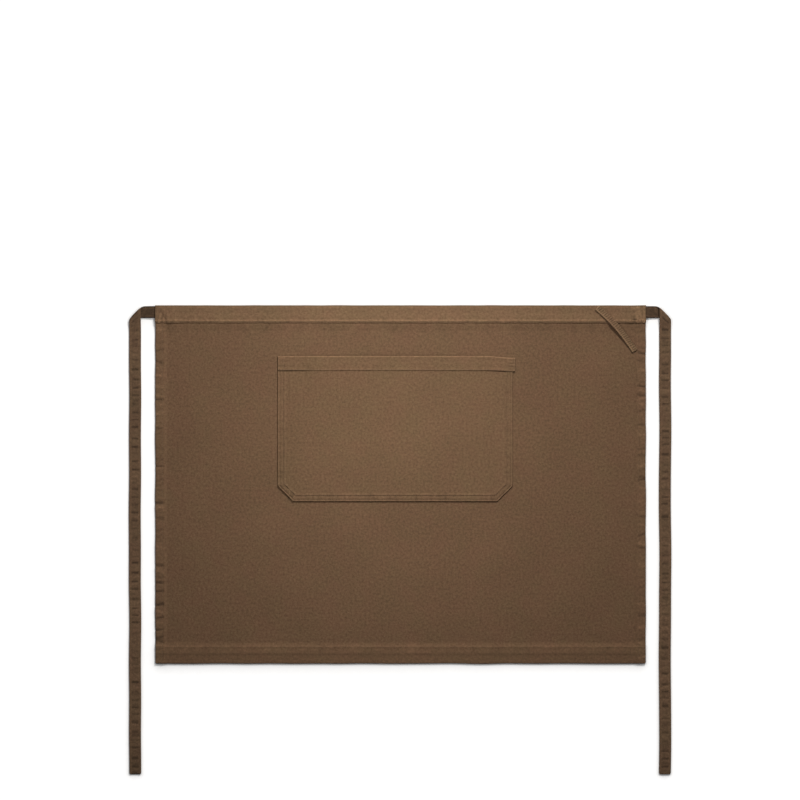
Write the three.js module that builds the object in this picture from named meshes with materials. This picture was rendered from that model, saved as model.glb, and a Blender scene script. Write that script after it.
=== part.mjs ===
// Waist apron of washed canvas, laid flat with its front up and its ties folded down beside it.
// Lengths are millimetres. +X is to the right, +Y towards the waistband and +Z up from the floor.
// The origin is on the floor, under the middle of the overall outline.
import * as THREE from 'three';

const { clamp, lerp, smoothstep } = THREE.MathUtils;

// Cloth
const clothWall = 1;
const sewnGap = 0.3;
const edgeSoftness = 0.35;

// Skirt panel
const skirtWidth = 785;
const apronLength = 573;
const sideHem = 13.5;
const bottomHem = 28;
const hemStep = 0.4;
const hemEase = 9;
const hemCrossing = 0.5;
const skirtCorner = 3;
const bandRise = 14;

// Waistband
const bandHeight = 28;
const bandSlack = 0.6;
const bandEndEase = 14;
const bandRidgeShare = 0.55;

// Ties, each with its own free length and its own distance from the apron's edge
const tieWidth = 19;
const tieThickness = 1.6;
const tieTuck = 19;
const foldRadius = 2.2;
const foldFall = 23;
const tieCorner = 1.6;
const leftTie = { name: 'tie_left', side: -1, away: 22.6, free: 771.3 };
const rightTie = { name: 'tie_right', side: 1, away: 21.2, free: 769.9 };

// Patch pocket
const pocketWidth = 375.5;
const pocketHeight = 232.5;
const pocketDrop = 81;
const pocketOffset = -8.5;
const pocketBorder = 11;
const mouthHem = 23;
const cornerClip = 24;
const pocketCrown = 5.4;
const mouthOverhang = 4.5;
const mouthDroop = 3;

// Towel loop
const loopWidth = 10;
const loopThickness = 1.5;
const loopFromSide = 78.5;
const loopFromTop = 3.9;
const loopSpan = 61.2;
const loopFall = 70.2;
const loopBow = 3.4;
const loopArch = 4.9;
const loopSeat = 9;

// Places that follow from the sizes above
const tieInset = clothWall + sewnGap;
const tieReach = (tie) => tieInset + tie.free - tie.away;
const overallLength = Math.max(apronLength, tieReach(leftTie), tieReach(rightTie));
const topY = overallLength / 2;
const apronX = (leftTie.away - rightTie.away) / 2;
const bandLowY = topY - bandHeight;
const allowanceTopY = topY - tieInset - tieWidth - sewnGap;
const ridgeDrop = tieInset + tieWidth;
const skirtLowY = topY - apronLength;
const skirtLift = clothWall + sewnGap;
const tieLift = clothWall + sewnGap + tieThickness / 2;

// How much of its thickness a sheet keeps at a distance from its folded edge.
function edgeShare(distance, thickness) {
  const across = clamp(distance / (thickness / 2), 0, 1);
  return Math.max(edgeSoftness, Math.sqrt(1 - (1 - across) ** 2));
}

// A closed mesh from points and triangles, with its faces turned outwards.
function closedGeometry(points, triangles) {
  const corner = new THREE.Vector3();
  let volume = 0;
  for (const [a, b, c] of triangles) {
    volume += corner.crossVectors(points[a], points[b]).dot(points[c]);
  }
  const ordered = volume < 0 ? triangles.map(([a, b, c]) => [a, c, b]) : triangles;
  const geometry = new THREE.BufferGeometry();
  geometry.setAttribute('position', new THREE.Float32BufferAttribute(points.flatMap((p) => p.toArray()), 3));
  geometry.setIndex(ordered.flat());
  geometry.computeVertexNormals();
  return geometry;
}

// Two triangles for the four corners of one face.
function quad(a, b, c, d) {
  return [[a, b, c], [a, c, d]];
}

// A sheet of cloth as a closed solid: pointAt gives its top and bottom points where a column meets a row.
function sheetGeometry(columns, rows, pointAt) {
  const crossings = rows.flatMap((row) => columns.map((column) => pointAt(column, row)));
  const points = [...crossings.map((c) => c.top), ...crossings.map((c) => c.bottom)];
  const under = crossings.length;
  const last = { column: columns.length - 1, row: rows.length - 1 };
  const at = (i, j) => j * columns.length + i;
  const triangles = [];
  for (let j = 0; j < last.row; j += 1) {
    for (let i = 0; i < last.column; i += 1) {
      const ring = [at(i, j), at(i + 1, j), at(i + 1, j + 1), at(i, j + 1)];
      triangles.push(...quad(...ring));
      triangles.push(...quad(...ring.map((k) => k + under).reverse()));
    }
  }
  const rim = [
    ...columns.map((_, i) => at(i, 0)).slice(0, -1),
    ...rows.map((_, j) => at(last.column, j)).slice(0, -1),
    ...columns.map((_, i) => at(i, last.row)).slice(1).reverse(),
    ...rows.map((_, j) => at(0, j)).slice(1).reverse(),
  ];
  rim.forEach((here, k) => {
    const next = rim[(k + 1) % rim.length];
    triangles.push(...quad(here + under, next + under, next, here));
  });
  return closedGeometry(points, triangles);
}

// A closed solid through a row of sections with the same number of points; the outline closes both ends.
function loftGeometry(sections, outline) {
  const count = outline.length;
  const points = sections.flat();
  const triangles = [];
  for (let s = 0; s < sections.length - 1; s += 1) {
    for (let k = 0; k < count; k += 1) {
      const here = s * count + k;
      const next = s * count + ((k + 1) % count);
      triangles.push(...quad(here, next, next + count, here + count));
    }
  }
  const end = points.length - count;
  const clockwise = THREE.ShapeUtils.isClockWise(outline);
  for (const [a, b, c] of THREE.ShapeUtils.triangulateShape(outline, [])) {
    const [first, second] = clockwise ? [b, c] : [c, b];
    triangles.push([a, first, second], [end + a, end + second, end + first]);
  }
  return closedGeometry(points, triangles);
}

// Even steps from one value to another, both included.
function steps(from, to, count) {
  return Array.from({ length: count + 1 }, (_, k) => lerp(from, to, k / count));
}

// Columns or rows across a sheet from its folded edge to the flat beyond its hem.
function hemStations(hem, thickness, ease) {
  const rounding = [0, 0.2, 0.5].map((share) => share * thickness);
  const easing = [0.3, 0.65, 1].map((share) => hem + hemStep + share * ease);
  return [...rounding, hem / 2, hem, hem + hemStep, ...easing];
}

// How far the doubled cloth of a hem still holds the panel up, from 1 on the hem to 0 on the flat.
function hemHold(distance, hem) {
  return 1 - smoothstep(distance, hem + hemStep, hem + hemStep + hemEase);
}

// Distances of a point on the apron from its nearer side edge and from its bottom edge.
function edgeDistances(x, y) {
  return { side: skirtWidth / 2 - Math.abs(x - apronX), low: y - skirtLowY };
}

// The panel lies on the floor and rises over the band's back layer at its top edge.
function panelLift(y) {
  return skirtLift * smoothstep(y, bandLowY - clothWall - bandRise, bandLowY - clothWall);
}

// Height that the hems add to the panel's front face.
function hemRelief(side, low) {
  const sideHold = hemHold(side, sideHem);
  const lowHold = hemHold(low, bottomHem);
  return clothWall * (Math.max(sideHold, lowHold) + hemCrossing * Math.min(sideHold, lowHold));
}

// Height of the panel's front face above the floor.
function skirtTopAt(x, y) {
  const { side, low } = edgeDistances(x, y);
  return panelLift(y) + clothWall + hemRelief(side, low);
}

function skirtPoint(x, y) {
  const { side, low } = edgeDistances(x, y);
  const lift = panelLift(y);
  const onHem = side <= sideHem || low <= bottomHem;
  const top = skirtTopAt(x, y);
  const bottom = onHem ? lift : lift + hemRelief(side, low);
  const rim = edgeShare(Math.min(side, low), 2 * clothWall);
  const shave = ((1 - rim) * (top - bottom)) / 2;
  const round = Math.max(0, skirtCorner - side - low) / 2;
  const inward = Math.sign(apronX - x) * round;
  return {
    top: new THREE.Vector3(x + inward, y + round, top - shave),
    bottom: new THREE.Vector3(x + inward, y + round, bottom + shave),
  };
}

function skirtGeometry() {
  const fromSide = hemStations(sideHem, 2 * clothWall, hemEase);
  const leftX = apronX - skirtWidth / 2;
  const rightX = apronX + skirtWidth / 2;
  const flatFrom = fromSide.at(-1);
  const middle = steps(leftX + flatFrom, rightX - flatFrom, 12).slice(1, -1);
  const columns = [...fromSide.map((d) => leftX + d), ...middle, ...fromSide.map((d) => rightX - d).reverse()];
  const fromLow = hemStations(bottomHem, 2 * clothWall, hemEase).map((d) => skirtLowY + d);
  const riseFrom = bandLowY - clothWall - bandRise;
  const flatRows = steps(fromLow.at(-1), riseFrom, 8).slice(1);
  const riseRows = steps(riseFrom, bandLowY - clothWall, 4).slice(1);
  const rows = [...fromLow, ...flatRows, ...riseRows, lerp(bandLowY, allowanceTopY, 0.5), allowanceTopY];
  return sheetGeometry(columns, rows, skirtPoint);
}

// How full the band's open ends are, from 1 over the tucked ties and side hems to 0 in the middle.
function bandFullness(x) {
  const fromEnd = skirtWidth / 2 - Math.abs(x - apronX);
  const full = Math.max(tieTuck, sideHem + hemStep + hemEase) + sewnGap;
  return 1 - smoothstep(fromEnd, full, full + bandEndEase);
}

// Outer height of the band beside its top fold, where it holds the ties.
function bandTopThickness(x) {
  return 2 * clothWall + lerp(bandSlack, tieThickness + 2 * sewnGap, bandFullness(x));
}

// Outer height of the band at its lower edge, where it holds the panel and, at the ends, the side hems.
function bandLowThickness(x) {
  return 3 * clothWall + 2 * sewnGap + clothWall * bandFullness(x);
}

// Height of the band's front face at a distance below its top fold.
function bandFrontAt(x, drop) {
  const ridge = smoothstep(drop, ridgeDrop * bandRidgeShare, ridgeDrop);
  return lerp(bandTopThickness(x), bandLowThickness(x), ridge);
}

// The band's section: the outer face from the back's lower edge round the fold, then the inner face back.
function bandSection(x) {
  const foldTurns = steps(-Math.PI / 2, Math.PI / 2, 6);
  const crown = bandTopThickness(x);
  const frontDrops = [...steps(ridgeDrop * bandRidgeShare, ridgeDrop, 4), bandHeight];
  const wallPath = (inset) => {
    const radius = crown / 2 - inset;
    const fold = foldTurns.map((turn) => [-crown / 2 + radius * Math.cos(turn), crown / 2 + radius * Math.sin(turn)]);
    const front = frontDrops.map((drop) => [-drop, bandFrontAt(x, drop) - inset]);
    return [[-bandHeight, inset], ...fold, ...front];
  };
  return [...wallPath(0), ...wallPath(clothWall).reverse()].map(([y, z]) => new THREE.Vector2(topY + y, z));
}

function bandGeometry() {
  const leftX = apronX - skirtWidth / 2;
  const rightX = apronX + skirtWidth / 2;
  const full = Math.max(tieTuck, sideHem + hemStep + hemEase) + sewnGap;
  const fromEnd = [0, full, ...[0.25, 0.5, 0.75, 1].map((share) => full + share * bandEndEase)];
  const middle = steps(leftX + fromEnd.at(-1), rightX - fromEnd.at(-1), 8).slice(1, -1);
  const stations = [...fromEnd.map((d) => leftX + d), ...middle, ...fromEnd.map((d) => rightX - d).reverse()];
  const sections = stations.map((x) => bandSection(x).map((p) => new THREE.Vector3(x, p.x, p.y)));
  return loftGeometry(sections, bandSection(leftX));
}

// A flat strip's section: distances across as shares of the width, heights as shares of the thickness.
function stripSection(width, thickness) {
  const chamfer = thickness * 0.3;
  const side = 0.5 - chamfer / width;
  const high = 0.5 - chamfer / thickness;
  return [
    [-0.5, -high], [-side, -0.5], [0, -0.5], [side, -0.5], [0.5, -high],
    [0.5, high], [side, 0.5], [0, 0.5], [-side, 0.5], [-0.5, high],
  ].map(([across, height]) => new THREE.Vector2(across, height));
}

// A flat strip as a closed solid: placeAt maps a station and a share across to the strip's middle surface.
function stripGeometry(stations, width, thickness, placeAt) {
  const outline = stripSection(width, thickness);
  const nudge = 0.01;
  const sections = stations.map((station) => outline.map((p) => {
    const across = p.x * station.widthShare;
    const here = placeAt(station, across, 0);
    const along = placeAt(station, across, nudge).sub(here);
    const beside = placeAt(station, across + nudge / width, 0).sub(here);
    return here.addScaledVector(along.cross(beside).normalize(), p.y * thickness);
  }));
  return loftGeometry(sections, outline);
}

// Where a flat point of a tie lies once the tie is folded over on the diagonal. out is the distance past
// the band's end and down the distance below the tie's top edge, both before the fold.
function foldedPoint(tie, out, down) {
  const beyond = (out - tie.away - down) / Math.SQRT2 + (foldRadius * Math.PI) / 2;
  const turn = clamp(beyond / foldRadius, 0, Math.PI);
  const back = Math.max(0, beyond - foldRadius * Math.PI);
  const shift = beyond > 0 ? foldRadius * Math.sin(turn) - back - beyond : 0;
  const restOut = out + shift / Math.SQRT2;
  const restDown = down - shift / Math.SQRT2;
  const leaving = 1 - smoothstep(out, tie.away * 0.05, tie.away * 0.7);
  const base = lerp(tieThickness / 2, tieLift, leaving);
  const standing = 1 - smoothstep(restDown, tieWidth * 0.35, tieWidth + foldFall);
  const rise = foldRadius * (1 - Math.cos(turn)) * standing;
  const x = apronX + tie.side * (skirtWidth / 2 + restOut);
  return new THREE.Vector3(x, topY - tieInset - restDown, base + rise);
}

// Stations along a tie by the flat length of its middle line; slant is 1 where a section follows the fold.
function tieStations(tie) {
  const roll = (foldRadius * Math.PI) / Math.SQRT2;
  const foldMiddle = tie.away + tieWidth / 2;
  const foldStart = foldMiddle - roll;
  const foldEnd = foldMiddle + roll;
  const squareAgain = foldEnd + tieWidth * 1.5;
  const tuck = [-tieTuck, 0].map((at) => ({ at, slant: 0 }));
  const stub = steps(0, 1, 6).slice(1, -1).map((share) => ({ at: share * foldStart, slant: share }));
  const turn = steps(foldStart, foldEnd, 8).map((at) => ({ at, slant: 1 }));
  const fall = steps(0, 1, 6).slice(1).map((share) => ({ at: lerp(foldEnd, squareAgain, share), slant: 1 - share }));
  const run = steps(squareAgain, tie.free - tieCorner, 14).slice(1).map((at) => ({ at, slant: 0 }));
  const rounding = [[0.6, 0.5], [1, 1]].map(([along, cut]) => ({
    at: lerp(tie.free - tieCorner, tie.free, along),
    slant: 0,
    widthShare: 1 - (cut * tieCorner) / tieWidth,
  }));
  return [...tuck, ...stub, ...turn, ...fall, ...run, ...rounding].map((row) => ({ widthShare: 1, ...row }));
}

function tieGeometry(tie) {
  const placeAt = (station, across, nudge) => {
    const out = station.at + across * tieWidth * station.slant + nudge;
    return foldedPoint(tie, out, (across + 0.5) * tieWidth);
  };
  return stripGeometry(tieStations(tie), tieWidth, tieThickness, placeAt);
}

// A square corner of the pocket's outline, and of each line parallel to it, is cut off at 45 degrees.
function clipShift(side, low) {
  const inner = Math.min(side, low);
  const cut = cornerClip - (2 - Math.SQRT2) * inner;
  return Math.max(0, cut - (side - inner) - (low - inner)) / 2;
}

// How far the pocket's slack front stands away from the panel, highest in the middle of the mouth.
function pocketCrownAt(column, row) {
  const across = clamp((Math.min(column, pocketWidth - column) - pocketBorder) / (pocketWidth / 2 - pocketBorder), 0, 1);
  const up = clamp((row - pocketBorder) / (pocketHeight - pocketBorder), 0, 1);
  return pocketCrown * (1 - (1 - across) ** 3) * Math.sin((up * Math.PI) / 2);
}

function pocketPoint(column, row) {
  const side = Math.min(column, pocketWidth - column);
  const shift = clipShift(side, row);
  const centred = column - pocketWidth / 2;
  const rightward = Math.max(0, centred) / (pocketWidth / 2);
  const mouthLow = pocketHeight - mouthHem;
  const overhang = mouthOverhang * rightward * smoothstep(row, mouthLow - 2 * hemStep, mouthLow + hemStep);
  const sag = mouthDroop * smoothstep(rightward, 0.75, 1) * smoothstep(row, mouthLow - mouthHem, pocketHeight);
  const x = apronX + pocketOffset + centred - Math.sign(centred) * shift + overhang;
  const y = topY - pocketDrop - pocketHeight + row + shift - sag;
  const doubled = Math.min(side, row) <= pocketBorder || row >= mouthLow;
  const seat = skirtTopAt(x, y) + sewnGap + pocketCrownAt(column, row);
  const top = seat + 2 * clothWall;
  const bottom = doubled ? seat : seat + clothWall;
  const rim = edgeShare(Math.min(side, row, pocketHeight - row), 2 * clothWall);
  const shave = ((1 - rim) * (top - bottom)) / 2;
  return {
    top: new THREE.Vector3(x, y, top - shave),
    bottom: new THREE.Vector3(x, y, bottom + shave),
  };
}

function pocketGeometry() {
  const fold = [0, 0.2, 0.5].map((share) => share * 2 * clothWall);
  const clipEnd = Math.max(cornerClip, pocketBorder + 2 * hemStep);
  const border = [...fold, pocketBorder / 2, pocketBorder, pocketBorder + hemStep, clipEnd, clipEnd + pocketBorder];
  const across = steps(border.at(-1), pocketWidth - border.at(-1), 14).slice(1, -1);
  const columns = [...border, ...across, ...border.map((d) => pocketWidth - d).reverse()];
  const mouthLow = pocketHeight - mouthHem;
  const up = steps(border.at(-1), mouthLow - 3 * hemStep, 8).slice(1);
  const mouth = [mouthLow - hemStep, mouthLow, pocketHeight - mouthHem / 2];
  const rows = [...border, ...up, ...mouth, ...fold.map((d) => pocketHeight - d).reverse()];
  return sheetGeometry(columns, rows, pocketPoint);
}

// The loop's middle line on the apron, bowed a little towards the corner, at a share of its way down.
function loopLine(share) {
  const startX = apronX + skirtWidth / 2 - loopFromSide;
  const startY = topY - loopFromTop;
  const length = Math.hypot(loopSpan, loopFall);
  const bow = loopBow * Math.sin(share * Math.PI);
  return new THREE.Vector2(
    startX + loopSpan * share + (bow * loopFall) / length,
    startY - loopFall * share + (bow * loopSpan) / length,
  );
}

// The loop's middle surface: seated on the band and on the panel at its ends, and arched between them.
function loopPoint(share, across) {
  const seatShare = loopSeat / Math.hypot(loopSpan, loopFall);
  const middle = loopLine(share);
  const ahead = loopLine(share + 0.01).sub(loopLine(share - 0.01)).normalize();
  const x = middle.x - ahead.y * across * loopWidth;
  const y = middle.y + ahead.x * across * loopWidth;
  const onBand = bandFrontAt(x, Math.max(0, topY - y));
  const onPanel = skirtTopAt(x, Math.min(y, bandLowY - clothWall - bandRise));
  const way = (share - seatShare) / (1 - 2 * seatShare);
  const seat = lerp(onBand, onPanel, smoothstep(way, 0, 1));
  const arch = loopArch * Math.sin(clamp(way, 0, 1) * Math.PI) ** 1.3;
  return new THREE.Vector3(x, y, seat + sewnGap + loopThickness / 2 + arch);
}

function loopGeometry() {
  const seatShare = loopSeat / Math.hypot(loopSpan, loopFall);
  const stations = [0, seatShare / 2, ...steps(seatShare, 1 - seatShare, 18), 1 - seatShare / 2, 1];
  const placeAt = (station, across, nudge) => loopPoint(station.at + nudge / loopFall, across);
  return stripGeometry(stations.map((at) => ({ at, widthShare: 1 })), loopWidth, loopThickness, placeAt);
}

// Washed canvas: matt, with its own brown on each piece.
function canvas(colour, roughness) {
  return new THREE.MeshStandardMaterial({ color: colour, roughness, metalness: 0 });
}

function piece(name, geometry, material) {
  const mesh = new THREE.Mesh(geometry, material);
  mesh.name = name;
  return mesh;
}

const apron = new THREE.Group();
apron.add(piece('skirt_panel', skirtGeometry(), canvas(0x6f543d, 0.92)));
apron.add(piece('waistband', bandGeometry(), canvas(0x7d624a, 0.9)));
apron.add(piece('patch_pocket', pocketGeometry(), canvas(0x735941, 0.92)));
apron.add(piece('towel_loop', loopGeometry(), canvas(0x6e5440, 0.88)));
for (const tie of [leftTie, rightTie]) {
  apron.add(piece(tie.name, tieGeometry(tie), canvas(0x5b4737, 0.9)));
}

export default apron;
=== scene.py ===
"""A waist apron of washed canvas, laid flat with its front up and its two ties folded down beside it.

Lengths are metres. +X runs to the right along the waistband, +Y towards it and +Z up from the floor.
"""
import math
from types import SimpleNamespace
from typing import NamedTuple

import bpy
import numpy as np
from bpy.props import FloatProperty, FloatVectorProperty, IntProperty, PointerProperty
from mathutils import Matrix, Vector


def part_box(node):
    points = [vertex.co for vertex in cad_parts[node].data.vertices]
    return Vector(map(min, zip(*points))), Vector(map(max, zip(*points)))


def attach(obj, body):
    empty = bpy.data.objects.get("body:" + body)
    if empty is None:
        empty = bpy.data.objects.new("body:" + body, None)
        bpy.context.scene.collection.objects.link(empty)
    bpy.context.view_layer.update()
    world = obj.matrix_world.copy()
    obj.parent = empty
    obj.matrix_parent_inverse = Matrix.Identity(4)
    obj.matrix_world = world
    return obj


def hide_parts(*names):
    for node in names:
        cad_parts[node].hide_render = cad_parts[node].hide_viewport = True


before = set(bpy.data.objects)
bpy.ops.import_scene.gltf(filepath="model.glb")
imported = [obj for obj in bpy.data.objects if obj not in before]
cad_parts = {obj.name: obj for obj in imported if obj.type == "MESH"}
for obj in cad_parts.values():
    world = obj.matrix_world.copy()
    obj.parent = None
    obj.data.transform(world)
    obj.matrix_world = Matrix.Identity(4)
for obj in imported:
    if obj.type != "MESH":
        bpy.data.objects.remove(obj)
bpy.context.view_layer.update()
panel_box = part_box("skirt_panel")
band_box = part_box("waistband")

bl_info = {
    "name": "Waist apron",
    "version": (1, 0, 0),
    "blender": (4, 5, 0),
    "location": "3D View > Sidebar > Apron",
    "description": "Builds a waist apron of washed canvas, laid flat in soft studio light",
    "category": "Object",
}


# Settings

EXACT_DIGITS = 7
HEM_CLEARANCE = 0.0001


def length(label, text, default):
    """A length in metres that a user may change."""
    return FloatProperty(name=label, description=text, default=default, min=0, unit="LENGTH", precision=5)


def share(label, text, default):
    """A plain number from 0 to 1, or a little more."""
    return FloatProperty(name=label, description=text, default=default, min=0, soft_max=1, subtype="FACTOR")


def colour(label, text, default):
    """A linear colour."""
    return FloatVectorProperty(
        name=label, description=text, default=default, size=3, min=0, max=1, subtype="COLOR")


class ClothSettings(bpy.types.PropertyGroup):
    cloth_wall: length("Canvas", "Thickness of one layer of canvas", 0.001)
    sewn_gap: length("Sewn gap", "Room between two pieces that are sewn together", 0.0003)
    wave_height: length("Waves", "Height of the soft waves that the washed panel lies in", 0.0012)
    pucker_height: length("Puckers", "Height of the puckers along the seams", 0.0006)
    groove_depth: length("Stitch grooves", "How deep a row of stitches pulls the cloth in", 0.0004)
    weave_pitch: length("Weave", "Distance from one yarn of the canvas to the next", 0.0008)
    weave_depth: length("Weave depth", "Height of a yarn where it crosses over another", 0.00012)
    crumple_depth: length("Crumple", "Height of the fine crumple that washing leaves", 0.00024)
    panel_colour: colour("Panel", "Colour of the panel's canvas", (0.157, 0.0900, 0.0492))
    band_colour: colour("Band", "Colour of the waistband's canvas", (0.181, 0.1070, 0.0580))
    pocket_colour: colour("Pocket", "Colour of the pocket's canvas", (0.162, 0.0950, 0.0510))
    tie_colour: colour("Ties", "Colour of the ties' canvas", (0.140, 0.0835, 0.0475))
    loop_colour: colour("Loop", "Colour of the towel loop's tape", (0.176, 0.1060, 0.0580))
    thread_colour: colour("Thread", "Colour of the sewing thread", (0.168, 0.1, 0.057))


class SkirtSettings(bpy.types.PropertyGroup):
    skirt_width: length(
        "Width", "Width of the panel between its side hems' folds", panel_box[1].x - panel_box[0].x)
    apron_length: length("Length", "From the waistband's top fold to the bottom hem's fold", 0.573)
    side_hem: length("Side hems", "Width of the side hems", 0.0135)
    bottom_hem: length("Bottom hem", "Width of the bottom hem", 0.028)
    hem_turning: length("Turning", "Width of the raw edge turned in inside a hem", 0.0125)
    hem_ease: length("Ease", "How far past a hem its thickness lifts the panel", 0.006)
    hem_crossing: share("Crossing", "Part of the side hem's thickness that shows on the bottom hem", 0.5)
    skirt_corner: length("Corner", "How far the lower corners are rounded", 0.0016)
    band_rise: length("Rise", "How far below the band the panel starts to rise onto it", 0.014)


class BandSettings(bpy.types.PropertyGroup):
    band_height: length("Height", "From the band's top fold to its lower edge", 0.028)
    band_slack: length("Slack", "Room inside the band's top fold", 0.0006)
    band_end_ease: length("End ease", "How far the tucked ties' thickness runs out along the band", 0.014)
    ridge_share: share("Ridge start", "Where the seam's ridge starts, as a share of its distance down", 0.55)
    seam_roll: length("Seam roll", "Height of the roll along the band's stitched edge", 0.00035)


class TieSettings(bpy.types.PropertyGroup):
    tie_width: length("Width", "Width of a finished tie", 0.019)
    tie_thickness: length("Thickness", "Thickness of a finished tie", 0.0016)
    tie_tuck: length("Tuck", "Length of each tie inside the band", 0.019)
    fold_radius: length("Fold", "Radius of the diagonal fold", 0.0022)
    fold_fall: length("Fall", "Length over which a tie falls to the floor below its fold", 0.023)
    tie_corner: length("Corner", "How far the ties' free ends are rounded", 0.0016)
    left_away: length("Left stub", "Length of the left tie from the band to its fold", 0.0226)
    left_free: length("Left length", "Free length of the left tie", 0.7713)
    right_away: length("Right stub", "Length of the right tie from the band to its fold", 0.0212)
    right_free: length("Right length", "Free length of the right tie", 0.7699)


class PocketSettings(bpy.types.PropertyGroup):
    pocket_width: length("Width", "Width of the pocket", 0.3755)
    pocket_height: length("Height", "Height of the pocket", 0.2325)
    pocket_drop: length("Drop", "From the band's top fold to the pocket's mouth", 0.081)
    pocket_left: length("Left shift", "How far left of the apron's middle the pocket sits", 0.0085)
    pocket_border: length("Border", "Width of the turned-in border on three sides", 0.011)
    mouth_hem: length("Mouth hem", "Width of the hem at the mouth", 0.023)
    corner_clip: length("Clipped corners", "How far the lower corners are cut off", 0.024)
    pocket_crown: length("Crown", "How far the middle of the mouth stands off the panel", 0.0054)
    mouth_overhang: length("Overhang", "How far the mouth hem juts out on the right", 0.0045)
    mouth_droop: length("Droop", "How far the mouth droops on the right", 0.003)


class LoopSettings(bpy.types.PropertyGroup):
    loop_width: length("Width", "Width of the loop's tape", 0.010)
    loop_thickness: length("Thickness", "Thickness of the loop's tape", 0.0015)
    loop_side: length("From side", "From the apron's right edge to the loop's upper end", 0.0785)
    loop_top: length("From top", "From the band's top fold to the loop's upper end", 0.0039)
    loop_span: length("Span", "How far the loop runs to the right", 0.0612)
    loop_fall: length("Fall", "How far the loop runs down", 0.0702)
    loop_bow: length("Bow", "How far the loop bows towards the corner", 0.0034)
    loop_arch: length("Arch", "How far the loop's middle stands off the cloth", 0.0014)
    loop_lean: length("Lean", "How much lower the loop's inner edge lies than its outer one", 0.0008)
    loop_seat: length("Seat", "Length of each sewn end of the loop", 0.009)


class StitchSettings(bpy.types.PropertyGroup):
    stitch_length: length("Stitch", "Length of one stitch", 0.0025)
    stitch_gap: length("Gap", "Gap between two stitches", 0.0006)
    thread_width: length("Thread", "Width of the thread", 0.00045)
    thread_rise: length("Rise", "How far a stitch stands off the cloth", 0.00018)
    tack_pitch: length("Tack pitch", "Distance between the crosswise stitches of a bar tack", 0.0006)
    stitch_seed: IntProperty(name="Seed", description="Seed of the stitches' small irregularities", default=7)


class StageSettings(bpy.types.PropertyGroup):
    camera_height: length("Camera height", "Height of the camera above the floor", 3.5556)
    camera_forward: length("Camera forward", "How far towards the waistband the camera stands", 0.2236)
    camera_lens: FloatProperty(
        name="Lens", description="Focal length of the camera", default=100, unit="CAMERA")
    softbox_power: FloatProperty(
        name="Softbox", description="Power of the overhead softbox", default=2.0, unit="POWER")
    key_power: FloatProperty(name="Key", description="Power of the low key light", default=68, unit="POWER")
    fill_strength: share("Fill", "Strength of the even fill light", 0.07)
    floor_colour: colour("Floor", "Colour of the floor", (0.9, 0.9, 0.9))
    floor_glow: share("Floor glow", "Brightness up to which the floor's own glow lifts it", 1.07)


SETTINGS = {
    "apron_cloth": ClothSettings,
    "apron_skirt": SkirtSettings,
    "apron_band": BandSettings,
    "apron_ties": TieSettings,
    "apron_pocket": PocketSettings,
    "apron_loop": LoopSettings,
    "apron_stitches": StitchSettings,
    "apron_stage": StageSettings,
}


def sizes():
    """Every setting by its name, with the places that follow from them.

    Blender keeps a setting in single precision, so each is rounded back to the digits it was given with.
    """
    values = {}
    for group_name, group in SETTINGS.items():
        settings = getattr(bpy.context.scene, group_name)
        for name in group.__annotations__:
            value = getattr(settings, name)
            values[name] = tuple(value) if hasattr(value, "__len__") else round(value, EXACT_DIGITS)
    s = SimpleNamespace(**values)
    s.top = band_box[1].y
    s.apron_x = (panel_box[0].x + panel_box[1].x) / 2
    s.apron_left = s.apron_x - s.skirt_width / 2
    s.apron_right = s.apron_x + s.skirt_width / 2
    s.span = (s.apron_left, s.apron_right)
    s.tie_inset = s.cloth_wall + s.sewn_gap
    s.band_low = s.top - s.band_height
    s.allowance_top = s.top - s.tie_inset - s.tie_width - s.sewn_gap
    s.ridge_drop = s.tie_inset + s.tie_width
    s.skirt_low = s.top - s.apron_length
    s.skirt_lift = s.cloth_wall + s.sewn_gap
    s.tie_lift = s.cloth_wall + s.sewn_gap + s.tie_thickness / 2
    s.hem_step = s.sewn_gap + HEM_CLEARANCE
    s.left_tie = SimpleNamespace(
        name="left_tie", node="tie_left", side=-1, away=s.left_away, free=s.left_free)
    s.right_tie = SimpleNamespace(
        name="right_tie", node="tie_right", side=1, away=s.right_away, free=s.right_free)
    return s


# Shaping

WAVE_COUNT = 16
WAVE_PITCHES = (0.75, 1.7)
PUCKER_HEIGHTS = (0.25, 1)
PUCKER_WIDTHS = (0.7, 1.5)
PUCKER_STEPS = (0.5, 1.6)
FOLD_STEPS = 5


class Gathers(NamedTuple):
    """A row of puckers: their mean pitch, their width, the seed, their strength and their greatest slant."""
    pitch: float
    width: float
    seed: int
    strength: float = 1.0
    slant: float = 0.35


class Field(NamedTuple):
    """A field of soft humps: their mean pitch, the seed and their height."""
    pitch: float
    seed: int
    height: float = 1.0


class Line(NamedTuple):
    """A soft line along an edge: its distance from the edge, its width and its strength."""
    place: float
    width: float
    strength: float = 1.0


def smooth(value, low, high):
    """0 below low, 1 above high and an S-shaped rise between them."""
    part = np.clip((value - low) / (high - low), 0, 1)
    return part * part * (3 - 2 * part)


def blend(low, high, part):
    """A value part of the way from low to high."""
    return low + (high - low) * part


def ridge(value, middle, width):
    """A rounded ridge of height 1."""
    return np.exp(-(((value - middle) / width) ** 2))


def lines(distance, *rows):
    """The sum of soft lines at a distance from their edge."""
    return sum(row.strength * ridge(distance, row.place, row.width) for row in rows)


# Fades the painted shade and highlights along the pieces' edges, and the rounding of the ties' fold corners
def fade_inwards(distance, width, strength=1.0):
    """A strength on an edge that dies out inwards over a width."""
    return strength * np.exp(-distance / width)


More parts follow.
